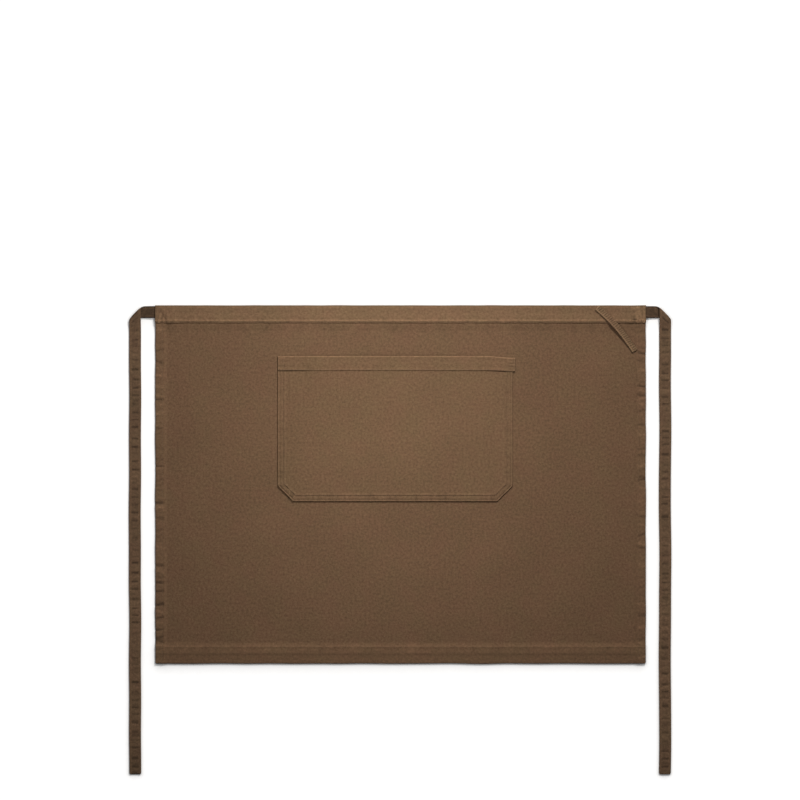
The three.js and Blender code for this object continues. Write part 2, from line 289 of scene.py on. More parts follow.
def waves(x, y, field, shift=0):
    """Soft humps about one pitch across, mostly from -1 to 1 times their height. shift moves the seed on."""
    rng = np.random.default_rng(field.seed + shift)
    total = np.zeros(np.broadcast(x, y).shape)
    for _ in range(WAVE_COUNT):
        heading = rng.uniform(0, math.tau)
        wave = math.tau / (field.pitch * rng.uniform(*WAVE_PITCHES))
        start = rng.uniform(0, math.tau)
        total += np.sin((x * math.cos(heading) + y * math.sin(heading)) * wave + start)
    return field.height * total / math.sqrt(WAVE_COUNT)


def puckers(along, across, span, gathers, shift=0):
    """Ridges and dips that cross a seam, each a little askew. shift moves the seed on."""
    rng = np.random.default_rng(gathers.seed + shift)
    field = np.zeros(np.broadcast(along, across).shape)
    place = span[0]
    while place < span[1]:
        slope = rng.uniform(-gathers.slant, gathers.slant)
        height = rng.choice([-1, 1]) * rng.uniform(*PUCKER_HEIGHTS)
        width = gathers.width * rng.uniform(*PUCKER_WIDTHS)
        field += height * ridge(along - slope * across, place, width)
        place += gathers.pitch * rng.uniform(*PUCKER_STEPS)
    return gathers.strength * field


def fold_profile(distance, thickness):
    """How full a folded edge is: 0 on the outline, 1 where the cloth has its whole thickness."""
    part = np.clip(distance / (thickness / 2), 0, 1)
    return np.sqrt(1 - (1 - part) ** 2)


def fold_stations(thickness):
    """Distances from a folded edge that follow its rounding evenly."""
    return thickness / 2 * (1 - np.cos(np.linspace(0, math.pi / 2, FOLD_STEPS)))


def fill_stations(marks, pitches):
    """Stations through all the marks, with each stretch between two marks cut up at its own pitch."""
    stations = [marks[:1]]
    for low, high, pitch in zip(marks[:-1], marks[1:], pitches):
        stations.append(np.linspace(low, high, max(1, round((high - low) / pitch)) + 1)[1:])
    return np.concatenate(stations)


def edge_stations(thickness, marks, pitches):
    """Stations inwards from a folded edge: round the fold, and then through the marks."""
    fold = fold_stations(thickness)
    return np.concatenate([fold[:-1], fill_stations([fold[-1], *marks], pitches)])


def odd(stations):
    """The stations with one more in the widest stretch if their number is even."""
    if len(stations) % 2:
        return stations
    widest = int(np.argmax(np.diff(stations)))
    return np.insert(stations, widest + 1, (stations[widest] + stations[widest + 1]) / 2)


def across_stations(border, width, pitch):
    """An odd number of stations across a sheet: the border's, the middle's and the mirrored border's."""
    middle = fill_stations([border[-1], width - border[-1]], [pitch])
    return odd(np.concatenate([border[:-1], middle, (width - border[:-1])[::-1]]))


def nearest(stations, value):
    """The index of the station nearest to a value."""
    return int(np.argmin(np.abs(stations - value)))


# Meshes

# Plain level of the mark that paints highlights and shade and holds wear
NEUTRAL_LIGHT_AND_WEAR = 0.5


def sides_of(grid):
    """The four sides of a grid of indices, in turn, each with both its corners."""
    return grid[0], grid[:, -1], grid[-1, ::-1], grid[::-1, 0]


def add_mark(mesh, name, values, kind="FLOAT", field="value"):
    """A value for each point of a mesh, under a name that a material or a tree reads."""
    mark = mesh.attributes.new(name, kind, "POINT")
    mark.data.foreach_set(field, values.astype(np.float32).ravel())


def cloth_mesh(name, front, back, uv, marks):
    """A closed sheet from grids of its front and back points, which meet along the outline.

    The back has every second row and column inside the outline, so both counts are odd.
    """
    rows, columns = front.shape[:2]
    fine = np.arange(rows * columns).reshape(rows, columns)
    inner = (slice(1, -1, 2), slice(1, -1, 2))
    coarse = np.arange(back[inner][..., 0].size).reshape(back[inner].shape[:2]) + fine.size
    quads = np.concatenate([
        np.stack([fine[:-1, :-1], fine[:-1, 1:], fine[1:, 1:], fine[1:, :-1]], -1).reshape(-1, 4),
        np.stack([coarse[:-1, :-1], coarse[1:, :-1], coarse[1:, 1:], coarse[:-1, 1:]], -1).reshape(-1, 4),
    ])
    faces = quads.tolist()
    for outline, ring in zip(sides_of(fine), sides_of(coarse)):
        for j, corner in enumerate(ring):
            before, here, after = outline[2 * j:2 * j + 3]
            faces.append([here, before, corner])
            faces.append([after, here, corner])
            if j:
                faces.append([corner, before, ring[j - 1]])
    points = np.concatenate([front.reshape(-1, 3), back[inner].reshape(-1, 3)])
    mesh = bpy.data.meshes.new(name)
    mesh.from_pydata(points.tolist(), [], faces)
    values = {
        key: np.concatenate([grid.reshape(fine.size, -1), grid[inner].reshape(coarse.size, -1)])
        for key, grid in {"cloth": uv, **marks}.items()
    }
    corners = np.empty(len(mesh.loops), dtype=np.int32)
    mesh.loops.foreach_get("vertex_index", corners)
    cloth = mesh.uv_layers.new(name="cloth")
    cloth.data.foreach_set("uv", values["cloth"][corners].astype(np.float32).ravel())
    for mark in marks:
        add_mark(mesh, mark, values[mark])
    mesh.polygons.foreach_set("use_smooth", np.ones(len(mesh.polygons), dtype=bool))
    mesh.update()
    return mesh


def normals_of(points):
    """The unit normal at each point of a grid of points."""
    normal = np.cross(np.gradient(points, axis=1), np.gradient(points, axis=0))
    return normal / np.linalg.norm(normal, axis=-1, keepdims=True)


def layered(x, y, top, under, rim):
    """Front and back points of a sheet that lies flat, drawn together by its rim along the outline."""
    middle = (top + under) / 2
    half = (top - under) / 2 * rim
    return np.stack([x, y, middle + half], -1), np.stack([x, y, middle - half], -1)


def sheet_sides(middle, normal, half):
    """Front and back points at half the thickness either side of a middle surface."""
    return middle + normal * half[..., None], middle - normal * half[..., None]


def add_piece(name, mesh, material, node=None):
    """Puts a finished mesh in the scene as a piece of the apron, in place of the node that it stands for."""
    old = bpy.data.objects.get(name)
    if old:
        bpy.data.objects.remove(old)
    piece = bpy.data.objects.new(name, mesh)
    bpy.context.scene.collection.objects.link(piece)
    mesh.materials.clear()
    mesh.materials.append(material)
    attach(piece, "root")
    if node:
        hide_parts(node)
    return piece


# Materials

# Scales are humps to the metre, tones are how far the shade swings, and depths are shares of the weave's
# depth or of the crumple's
CANVAS = SimpleNamespace(
    wobble_scale=90.0, wobble=0.0006, weave_tone=0.10,
    slub_scale=1100, slub_length_scale=190, slub_tone=0.09, slub_depth=0.8,
    mottle_scale=260.0, mottle_tone=0.55, speck_scale=650.0, speck_tone=0.28,
    broad_scale=11.0, broad_tone=0.10,
    patch_scale=24.0, patch_low=0.36, patch_high=0.64,
    red_dye=(1.024, 0.981, 0.994), olive_dye=(0.984, 1.013, 0.979),
    # How far the painted highlights, painted shade and wear swing the tone, and how far the painted shade on
    # folded edges darkens it
    light_and_wear_tone=0.5, fold_shade_tone=-0.42,
    fine_crumple_scale=230.0, soft_crumple_scale=70.0, soft_crumple=1.6,
    smoothest=0.84, roughest=0.97, specular=0.18,
    sheen=0.12, sheen_spread=0.6, sheen_tint=(0.55, 0.45, 0.36, 1),
)
THREAD = SimpleNamespace(
    tone_scale=380.0, tone=0.35, twist_scales=(2200, 2200, 1400), twist_tone=0.2, twist_height=0.00006,
    smoothest=0.6, roughest=0.85, specular=0.3,
)


class Nodes:
    """Adds nodes to a tree and links them, so that a recipe reads line by line."""

    def __init__(self, tree):
        self.tree = tree

    def add(self, kind, inputs=None, **settings):
        """A new node with its settings and its inputs, which are values or other nodes' outputs."""
        node = self.tree.nodes.new(kind)
        for name, value in settings.items():
            setattr(node, name, value)
        for key, value in (inputs or {}).items():
            if isinstance(value, bpy.types.NodeSocket):
                self.tree.links.new(value, node.inputs[key])
            else:
                node.inputs[key].default_value = value
        return node

    def out(self, kind, inputs=None, output=0, **settings):
        """One output of a new node."""
        return self.add(kind, inputs, **settings).outputs[output]

    def math(self, operation, *values):
        """The result of a sum on numbers or sockets."""
        return self.out("ShaderNodeMath", dict(enumerate(values)), operation=operation)

    def product(self, *values):
        """The product of numbers and sockets."""
        result = values[0]
        for value in values[1:]:
            result = self.math("MULTIPLY", result, value)
        return result

    def noise(self, vector, scale, detail=2.0, roughness=0.5):
        """Seeded noise from 0 to 1 at a number of humps to the metre."""
        inputs = {"Vector": vector, "Scale": scale, "Detail": detail, "Roughness": roughness}
        return self.out("ShaderNodeTexNoise", inputs, "Fac")

    def stretch(self, vector, factors):
        """A vector scaled along each of its axes."""
        return self.out("ShaderNodeVectorMath", {0: vector, 1: factors}, operation="MULTIPLY")

    def scaled(self, vector, factor):
        """A vector or colour scaled by one factor."""
        return self.out("ShaderNodeVectorMath", {0: vector, 3: factor}, operation="SCALE")

    def swing(self, value, amount):
        """A factor about 1 that swings by an amount as a value runs from 0 to 1."""
        return self.math("MULTIPLY_ADD", value, 2 * amount, 1 - amount)

    def span(self, value, low, high):
        """A value from 0 to 1, spread from low to high."""
        return self.out("ShaderNodeMapRange", {"Value": value, "To Min": low, "To Max": high})

    def surface(self, inputs):
        """The finished surface."""
        shader = self.out("ShaderNodeBsdfPrincipled", inputs)
        self.add("ShaderNodeOutputMaterial", {"Surface": shader})


def new_material(name):
    """An empty material and its nodes."""
    old = bpy.data.materials.get(name)
    if old:
        bpy.data.materials.remove(old)
    material = bpy.data.materials.new(name)
    material.use_nodes = True
    material.node_tree.nodes.clear()
    return material, Nodes(material.node_tree)


def weave_height(n, uv, pitch):
    """A plain weave: each yarn goes over one crossing yarn and under the next."""
    turns = n.add("ShaderNodeSeparateXYZ", {0: n.stretch(uv, (math.pi / pitch, math.pi / pitch, 0))})
    across = n.math("SINE", turns.outputs[0])
    along = n.math("SINE", turns.outputs[1])
    crossing = n.math("MULTIPLY", across, along)
    warp = n.math("ADD", n.math("ABSOLUTE", across), crossing)
    weft = n.math("SUBTRACT", n.math("ABSOLUTE", along), crossing)
    return n.math("MULTIPLY", n.math("MAXIMUM", warp, weft), 0.5)


def canvas_material(s, name, tint, place, grain=1.0, ribs=0.0):
    """Washed canvas: plain weave with slubs, fine crumple and patchy dye, lightened and darkened by wear and
    painted highlights and shade, with painted shade along the folds.

    place shifts the pattern from piece to piece, grain scales its contrast, and ribs adds cross ribs.
    """
    look = CANVAS
    material, n = new_material(name)
    cloth = n.out("ShaderNodeUVMap", uv_map="cloth")
    uv = n.out("ShaderNodeMapping", {"Vector": cloth, "Location": place})
    # The first mark paints highlights and shade and holds some wear; the fold mark paints shade along folded
    # edges
    wear = n.out("ShaderNodeAttribute", None, "Fac", attribute_name="wear")
    fold = n.out("ShaderNodeAttribute", None, "Fac", attribute_name="fold")

    drift = n.out("ShaderNodeTexNoise", {"Vector": uv, "Scale": look.wobble_scale}, "Color")
    bent = n.out("ShaderNodeVectorMath", {0: uv, 1: n.scaled(drift, look.wobble)}, operation="ADD")
    weave = weave_height(n, bent, s.weave_pitch)
    warp_slub = n.noise(n.stretch(uv, (look.slub_scale, look.slub_length_scale, 0)), 1.0, 1.0)
    weft_slub = n.noise(n.stretch(uv, (look.slub_length_scale, look.slub_scale, 0)), 1.0, 1.0)
    slubs = n.math("ADD", warp_slub, weft_slub)
    mottle = n.noise(uv, look.mottle_scale, 3.0, 0.6)
    speck = n.noise(uv, look.speck_scale, 2.0, 0.6)
    patches = n.noise(uv, look.patch_scale, 4.0, 0.6)
    broad = n.noise(uv, look.broad_scale)

    hue = n.out(
        "ShaderNodeMapRange", {"Value": patches, "From Min": look.patch_low, "From Max": look.patch_high})
    red = tuple(c * k for c, k in zip(tint, look.red_dye))
    olive = tuple(c * k for c, k in zip(tint, look.olive_dye))
    base = n.out("ShaderNodeMix", {0: hue, 6: (*olive, 1), 7: (*red, 1)}, 2, data_type="RGBA")
    tone = n.product(
        n.swing(mottle, look.mottle_tone * grain),
        n.swing(speck, look.speck_tone * grain),
        n.swing(broad, look.broad_tone * grain),
        n.math("MULTIPLY_ADD", slubs, look.slub_tone, 1 - look.slub_tone),
        n.swing(weave, look.weave_tone),
        n.swing(wear, look.light_and_wear_tone),
        n.math("MULTIPLY_ADD", fold, look.fold_shade_tone, 1.0),
    )

    fine = n.noise(uv, look.fine_crumple_scale, 2.0, 0.55)
    soft = n.noise(uv, look.soft_crumple_scale)
    height = n.math("MULTIPLY", weave, s.weave_depth)
    height = n.math("MULTIPLY_ADD", slubs, s.weave_depth * look.slub_depth, height)
    height = n.math("MULTIPLY_ADD", fine, s.crumple_depth, height)
    height = n.math("MULTIPLY_ADD", soft, s.crumple_depth * look.soft_crumple, height)
    if ribs:
        along = n.out("ShaderNodeSeparateXYZ", {0: uv}, 1)
        rib = n.math("SINE", n.math("MULTIPLY", along, math.tau / ribs))
        height = n.math("MULTIPLY_ADD", rib, s.weave_depth, height)
    n.surface({
        "Base Color": n.scaled(base, tone),
        "Roughness": n.span(mottle, look.smoothest, look.roughest),
        "Normal": n.out("ShaderNodeBump", {"Height": height, "Strength": 1.0, "Distance": 1.0}),
        "Specular IOR Level": look.specular,
        "Sheen Weight": look.sheen, "Sheen Roughness": look.sheen_spread, "Sheen Tint": look.sheen_tint,
    })
    return material


def thread_material(s):
    """Spun sewing thread, a little lighter than the canvas, with a shade of its own from stitch to stitch."""
    material, n = new_material("sewing_thread")
    place = n.out("ShaderNodeTexCoord", None, "Object")
    twist = n.noise(n.stretch(place, THREAD.twist_scales), 1.0, 1.0)
    shade = n.noise(place, THREAD.tone_scale)
    tone = n.product(n.swing(shade, THREAD.tone), n.swing(twist, THREAD.twist_tone))
    height = n.math("MULTIPLY", twist, THREAD.twist_height)
    n.surface({
        "Base Color": n.scaled(s.thread_colour, tone),
        "Roughness": n.span(twist, THREAD.smoothest, THREAD.roughest),
        "Normal": n.out("ShaderNodeBump", {"Height": height, "Distance": 1.0}),
        "Specular IOR Level": THREAD.specular,
    })
    return material


# Stitches

STITCH_TURN = 0.05
STITCH_SIZES = (0.92, 1.06)
THREAD_SINK = 0.45
THREAD_SWELL = 0.25
THREAD_SIDES = 5


def stitch_tree():
    """Geometry nodes that lay a stitch along each path at an even pitch."""
    tree = bpy.data.node_groups.new("stitch_rows", "GeometryNodeTree")
    n = Nodes(tree)
    sockets = [
        ("Paths", "NodeSocketGeometry"), ("Pitch", "NodeSocketFloat"), ("Stitch length", "NodeSocketFloat"),
        ("Thread width", "NodeSocketFloat"), ("Rise", "NodeSocketFloat"), ("Turn", "NodeSocketFloat"),
        ("Seed", "NodeSocketInt"), ("Thread", "NodeSocketMaterial"),
    ]
    for name, kind in sockets:
        tree.interface.new_socket(name=name, in_out="INPUT", socket_type=kind)
    tree.interface.new_socket(name="Stitches", in_out="OUTPUT", socket_type="NodeSocketGeometry")
    given = n.add("NodeGroupInput").outputs

    def random(low, high):
        """A seeded number of its own for each stitch."""
        inputs = {2: low, 3: high, "Seed": given["Seed"]}
        return n.out("FunctionNodeRandomValue", inputs, 1, data_type="FLOAT")

    curves = n.out("GeometryNodeMeshToCurve", {0: given["Paths"]})
    rows = n.out("GeometryNodeResampleCurve", {"Curve": curves, "Length": given["Pitch"]}, mode="LENGTH")
    up = n.out("GeometryNodeInputNamedAttribute", {"Name": "up"}, data_type="FLOAT_VECTOR")
    tangent = n.out("GeometryNodeInputTangent")
    standing = n.out("FunctionNodeAlignRotationToVector", {"Vector": up}, axis="Z")
    heading = n.out(
        "FunctionNodeAlignRotationToVector", {"Rotation": standing, "Vector": tangent},
        axis="X", pivot_axis="Z",
    )
    turn = n.math("ADD", given["Turn"], random(-STITCH_TURN, STITCH_TURN))
    spin = n.out("FunctionNodeAxisAngleToRotation", {"Axis": (0, 0, 1), "Angle": turn})
    placed = n.out(
        "FunctionNodeRotateRotation", {"Rotation": heading, "Rotate By": spin}, rotation_space="LOCAL")

    half = n.math("MULTIPLY", given["Stitch length"], 0.5)
    sunk = n.math("MULTIPLY", given["Thread width"], -THREAD_SINK)
    raised = n.math("MULTIPLY", given["Thread width"], THREAD_SINK)
    top = n.math("MULTIPLY_ADD", given["Rise"], 2.0, raised)
    arc = n.out("GeometryNodeCurveQuadraticBezier", {
        "Resolution": 5,
        "Start": n.out("ShaderNodeCombineXYZ", {0: n.math("MULTIPLY", half, -1.0), 2: sunk}),
        "Middle": n.out("ShaderNodeCombineXYZ", {2: top}),
        "End": n.out("ShaderNodeCombineXYZ", {0: half, 2: sunk}),
    })
    along = n.out("GeometryNodeSplineParameter", None, "Factor")
    swell = n.math("SINE", n.math("MULTIPLY", along, math.pi))
    swell = n.math("MULTIPLY_ADD", swell, THREAD_SWELL, THREAD_SWELL)
    radius = n.math("MULTIPLY", given["Thread width"], swell)
    ring = n.out(
        "GeometryNodeCurvePrimitiveCircle", {"Resolution": THREAD_SIDES, "Radius": 1.0}, mode="RADIUS")
    thread = n.out(
        "GeometryNodeCurveToMesh", {"Curve": arc, "Profile Curve": ring, "Scale": radius, "Fill Caps": True})
    rounded = n.out("GeometryNodeSetShadeSmooth", {0: thread, "Shade Smooth": True})
    stitches = n.out("GeometryNodeInstanceOnPoints", {
        "Points": rows, "Instance": rounded, "Rotation": placed, "Scale": random(*STITCH_SIZES),
    })
    real = n.out("GeometryNodeRealizeInstances", {0: stitches})
    done = n.out("GeometryNodeSetMaterial", {"Geometry": real, "Material": given["Thread"]})
    n.add("NodeGroupOutput", {"Stitches": done})
    return tree


def sew(s, name, rows, pitch=None, stitch=None, turn=0.0):
    """Stitches along rows of (points, normals), as one plain mesh."""
    tree = bpy.data.node_groups.get("stitch_rows") or stitch_tree()
    thread = bpy.data.materials.get("sewing_thread") or thread_material(s)
    edges = []
    start = 0
    for points, _ in rows:
        edges += [(start + k, start + k + 1) for k in range(len(points) - 1)]
        start += len(points)
    mesh = bpy.data.meshes.new(name + "_paths")
    mesh.from_pydata(np.concatenate([points for points, _ in rows]).tolist(), edges, [])
    add_mark(mesh, "up", np.concatenate([normals for _, normals in rows]), "FLOAT_VECTOR", "vector")
    holder = bpy.data.objects.new(name + "_paths", mesh)
    bpy.context.scene.collection.objects.link(holder)
    modifier = holder.modifiers.new("stitches", "NODES")
    modifier.node_group = tree
    values = {
        "Pitch": pitch or s.stitch_length + s.stitch_gap, "Stitch length": stitch or s.stitch_length,
        "Thread width": s.thread_width, "Rise": s.thread_rise, "Turn": turn,
        "Seed": s.stitch_seed + len(name), "Thread": thread,
    }
    for item in tree.interface.items_tree:
        if item.in_out == "INPUT" and item.name in values:
            modifier[item.identifier] = values[item.name]
    depsgraph = bpy.context.evaluated_depsgraph_get()
    plain = bpy.data.meshes.new_from_object(holder.evaluated_get(depsgraph))
    plain.name = name
    bpy.data.objects.remove(holder)
    return add_piece(name, plain, thread)


def row_along(points, normals, index, inset):
    """A row of stitches along one row of a grid of points, clear of both its ends."""
    inside = slice(inset, len(points[index]) - inset)
    return points[index][inside], normals[index][inside]


def row_down(points, normals, index, inset):
    """A row of stitches along one column of a grid of points, clear of both its ends."""
    inside = slice(inset, len(points) - inset)
    return points[inside, index], normals[inside, index]


# Skirt panel

PANEL_WAVES = Field(0.12, 3, 0.4)
WAVES_MEAN = 0.5
WAVES_MOST = 1.2
# How far inwards from the edge the waves are whole, and, from the band's lower edge, where they end and
# where the panel's detail goes under the band
WAVES_WHOLE = 0.07
WAVES_END = (-0.05, -0.01)
UNDER_BAND = (-0.004, -0.001)
PANEL_PITCH = 0.0058
SIDE_PITCHES = (0.0013, 0.0009, 0.0013)
LOW_PITCHES = (0.0016, 0.0014, 0.0009, 0.0014)
ROW_PITCHES = (0.0021, 0.0015, 0.002)
PULL_START = (-0.001, 0.003)
PULL_FADE = 0.3
PULL_LENGTH = 0.026
PAST_HEM = 0.002
SIDE_STITCH = 0.0117
BOTTOM_STITCH = 0.0268
SIDE_GROOVE = Line(SIDE_STITCH, 0.0008, 0.35)
BOTTOM_GROOVE = Line(BOTTOM_STITCH, 0.0008)
SIDE_GATHERS = (Gathers(0.0125, 0.0017, 11, 0.75), Gathers(0.0125, 0.0017, 12, 0.7))
BOTTOM_GATHERS = Gathers(0.015, 0.00255, 13, 0.45, 0.8)
BOTTOM_GATHERS_LINE = Line(-0.004, 0.008)
BAND_PULLS = Gathers(0.017, 0.0032, 14, 0.4, 0.9)
SIDE_PUCKER_HEIGHT = 1.5
PUCKER_BEND = Field(0.03, 17, 0.2)
HEM_SOFTNESS = 0.003
PLY_SOFTNESS = 0.0012
PLY_HEIGHT = 0.45
SIDE_PLY_SHARE = 0.6
SIDE_WANDER = Field(0.06, 5, 0.00025)
LOW_WANDER = Field(0.07, 6, 0.00025)
WANDER_REACH = 0.02
# How strongly the puckers show as painted highlights on their ridges and painted shade in their dips, how
# much lighter the turned-in edges are, and how far the painted shade on the edge reaches
PUCKER_SHADING = 0.4
PLY_LIGHTENING = 0.1
SIDE_PLY_LIGHTENING = 0.5
HEM_SHADE = 0.0009
ROW_INSET = 3
SIDE_ROW_START = 4
# A painted highlight above the bottom hem's stitch line, stronger where the side hem crosses it, and painted
# shade below the stitch line and below the turned-in edge
HEM_HIGHLIGHT = Line(BOTTOM_STITCH + 0.0008, 0.0008)
HEM_HIGHLIGHT_STRENGTH = (0.55, 0.9)
HEM_SHADES = (Line(BOTTOM_STITCH - 0.0012, 0.001, -0.3), Line(0.0145, 0.002, -0.08))
HEM_CROSSING = (0.028, 0.036)
# The strongest puckers of the side hems: share of the way from the band to the bottom hem's fold, and height
LEFT_PUCKERS = ((0.225, -0.9), (0.31, -0.6), (0.42, -0.7), (0.53, -0.6), (0.712, -0.9), (0.729, 0.7),
                (0.762, -1.2), (0.788, -1.0), (0.829, -1.1), (0.867, -0.9), (0.902, -1.3), (0.925, -0.9))
RIGHT_PUCKERS = ((0.09, -0.8), (0.187, -1.0), (0.203, 0.5), (0.214, -0.9), (0.30, -0.8), (0.37, -0.6),
                 (0.46, -0.8), (0.57, -0.5), (0.66, -0.6), (0.75, -0.4), (0.86, -0.6))


def from_side(s, x):
    """Distance from the apron's nearer side edge."""
    return s.skirt_width / 2 - np.abs(x - s.apron_x)


def edge_distances(s, x, y):
    """Distances of a point from the apron's nearer side edge and from its bottom edge."""
    return from_side(s, x), y - s.skirt_low


def hem_hold(s, distance, hem):
    """How far the doubled cloth of a hem holds the panel up: 1 on the hem, 0 on the flat."""
    return 1 - smooth(distance, hem + s.hem_step, hem + s.hem_step + s.hem_ease)


def panel_lift(s, x, y):
    """Height of the panel's underside: its soft waves, and its rise onto the band's back layer."""
    side, low = edge_distances(s, x, y)
    inside = smooth(np.minimum(side, low), s.side_hem, WAVES_WHOLE)
    inside *= 1 - smooth(y - s.band_low, *WAVES_END)
    wavy = np.clip(WAVES_MEAN + waves(x, y, PANEL_WAVES), 0, WAVES_MOST)
    seam = s.band_low - s.cloth_wall
    return s.wave_height * inside * wavy + s.skirt_lift * smooth(y, seam - s.band_rise, seam)


def hem_relief(s, side, low):
    """Height that the hems add to the panel's front."""
    side_hold = hem_hold(s, side, s.side_hem)
    low_hold = hem_hold(s, low, s.bottom_hem)
    crossing = s.hem_crossing * np.minimum(side_hold, low_hold)
    return s.cloth_wall * (np.maximum(side_hold, low_hold) + crossing)


def ply_relief(s, distance, hem):
    """The soft step of a hem's turned-in raw edge: 0 by the fold, 1 over the turning, 0 past the hem."""
    raw_edge = hem - s.hem_turning
    turning = smooth(distance, raw_edge - PLY_SOFTNESS, raw_edge + PLY_SOFTNESS)
    return turning * (1 - smooth(distance, hem, hem + PAST_HEM))


def hem_plies(s, side, low, side_share):
    """The turned-in edges of the bottom hem and, at a share of its strength, of the side hems."""
    return np.maximum(ply_relief(s, low, s.bottom_hem), side_share * ply_relief(s, side, s.side_hem))


def seam_puckers(s, x, y):
    """Puckers of the panel along its hems and below the band, about unit height."""
    side, low = edge_distances(s, x, y)
    drop = s.band_low - y
    fall = s.band_low - s.skirt_low
    bent = drop / fall + side * waves(x, y, PUCKER_BEND)
    left, right = (
        puckers(y, side, (s.skirt_low, s.band_low), gathers)
        + sum(height * ridge(bent, place, gathers.width / fall) for place, height in table)
        for gathers, table in zip(SIDE_GATHERS, (LEFT_PUCKERS, RIGHT_PUCKERS))
    )
    on_side = 1 - smooth(side, s.side_hem - HEM_SOFTNESS, s.side_hem + HEM_SOFTNESS)
    sideways = SIDE_PUCKER_HEIGHT * np.where(x < s.apron_x, left, right) * on_side
    bottom = puckers(x, low, s.span, BOTTOM_GATHERS) * lines(low - s.bottom_hem, BOTTOM_GATHERS_LINE)
    pulls = puckers(x, drop, s.span, BAND_PULLS) * smooth(drop, *PULL_START)
    return sideways + bottom + pulls * (1 - smooth(drop, PULL_FADE * PULL_LENGTH, PULL_LENGTH))


def panel_detail(s, x, y):
    """Relief of the hems' turnings, stitch lines and puckers on the panel's front."""
    side, low = edge_distances(s, x, y)
    plies = PLY_HEIGHT * s.cloth_wall * hem_plies(s, side, low, SIDE_PLY_SHARE)
    grooves = np.maximum(lines(side, SIDE_GROOVE), lines(low, BOTTOM_GROOVE))
    clear = 1 - smooth(y - s.band_low, *UNDER_BAND)
    return clear * (plies - s.groove_depth * grooves + s.pucker_height * seam_puckers(s, x, y))


def panel_front(s, x, y):
    """Height of the panel's front above the floor."""
    side, low = edge_distances(s, x, y)
    return panel_lift(s, x, y) + s.cloth_wall + hem_relief(s, side, low) + panel_detail(s, x, y)


def panel_stations(s):
    """Columns and rows of the panel's grid, fine on the hems and below the band."""
    past_hem = s.hem_ease + PAST_HEM
    side = edge_stations(
        2 * s.cloth_wall, [SIDE_STITCH, s.side_hem, s.side_hem + past_hem], SIDE_PITCHES)
    columns = s.apron_left + across_stations(side, s.skirt_width, PANEL_PITCH)
    low = s.skirt_low + edge_stations(
        2 * s.cloth_wall,
        [s.bottom_hem - s.hem_turning, BOTTOM_STITCH, s.bottom_hem, s.bottom_hem + past_hem], LOW_PITCHES)
    seam = s.band_low - s.cloth_wall
    rows = fill_stations([low[-1], s.band_low - PULL_LENGTH, seam, s.allowance_top], ROW_PITCHES)
    return columns, odd(np.concatenate([low[:-1], rows]))


def build_skirt_panel():
    """The canvas panel with its side hems and its deep bottom hem."""
    s = sizes()
    columns, rows = panel_stations(s)
    x, y = np.meshgrid(columns, rows)
    side, low = edge_distances(s, x, y)
    lift = panel_lift(s, x, y)
    on_hem = (side <= s.side_hem) | (low <= s.bottom_hem)
    under = np.where(on_hem, lift, lift + hem_relief(s, side, low))
    rim = fold_profile(np.minimum(np.minimum(side, low), s.allowance_top - y), 2 * s.cloth_wall)
    rounding = np.clip(s.skirt_corner - side - low, 0, None) / 2
    side_wander = waves(x * 0, y, SIDE_WANDER) * (1 - smooth(side, 0, WANDER_REACH))
    low_wander = waves(x, y * 0, LOW_WANDER) * (1 - smooth(low, 0, WANDER_REACH))
    plan_x = x + np.sign(s.apron_x - x) * (rounding + side_wander)
    plan_y = y + rounding + low_wander
    front, back = layered(plan_x, plan_y, panel_front(s, x, y), under, rim)
    crossing = 1 - smooth(x - s.apron_left, *HEM_CROSSING)
    # Painted highlight and shade along the bottom hem's stitch line and turned-in edge
    hem_highlight_and_shade = blend(*HEM_HIGHLIGHT_STRENGTH, crossing) * lines(low, HEM_HIGHLIGHT) + lines(low, *HEM_SHADES)
    # The puckers' ridges are painted lighter and their dips darker as highlights and shade; the turned-in
    # edges are lighter
    wear = NEUTRAL_LIGHT_AND_WEAR + PUCKER_SHADING * seam_puckers(s, x, y) + hem_highlight_and_shade
    wear += PLY_LIGHTENING * hem_plies(s, side, low, SIDE_PLY_LIGHTENING)
    # The fold mark is painted shade along the panel's outline
    marks = {"wear": np.clip(wear, 0, 1), "fold": fade_inwards(np.minimum(side, low), HEM_SHADE)}
    mesh = cloth_mesh("canvas_panel", front, back, np.stack([x, y], -1), marks)
    material = canvas_material(s, "panel_canvas", s.panel_colour, (0, 0, 0))
    panel = add_piece("canvas_panel", mesh, material, "skirt_panel")

    bottom = nearest(rows, s.skirt_low + BOTTOM_STITCH)
    run = slice(SIDE_ROW_START, nearest(rows, s.band_low))
    seams = []
    for points, normals in ((front, normals_of(front)), (back, -normals_of(back))):
        seams.append(row_along(points, normals, bottom, ROW_INSET))
        for place in (s.apron_left + SIDE_STITCH, s.apron_right - SIDE_STITCH):
            column = nearest(columns, place)
            seams.append((points[run, column], normals[run, column]))
    stitches = sew(s, "panel_stitches", seams)


# Waistband

BAND_STITCH = 0.0258
BAND_END_STITCH = 0.0035
BAND_FOLD_RADIUS = 0.0013
BAND_PITCH = 0.00279
BAND_FRONT_FROM = 0.006
BAND_END_BORDER = 0.03
BAND_END_PITCHES = (0.0009, 0.0014)
BAND_EDGE_PITCHES = (0.0004, 0.0004)
BAND_FRONT_ROWS = 15
BAND_BACK_ROWS = 11
BAND_BACK_EDGE = 0.002
BAND_FOLD_ROWS = 9
SIDE_HEM_ROOM = 0.0094
EDGE_GATHERS = Gathers(0.0095, 0.0022, 21, 0.8, 0.9)
END_GATHERS = Gathers(0.0055, 0.0018, 22, 1.8, 0.5)
# Where the two rows of puckers start below the top fold, and how far the second reaches from the ends
EDGE_PUCKER_START = (0.016, 0.024)
END_PUCKER_START = (0.002, 0.014)
END_PUCKER_REACH = (0.014, 0.026)
BAND_PUCKER_SHARE = 0.8
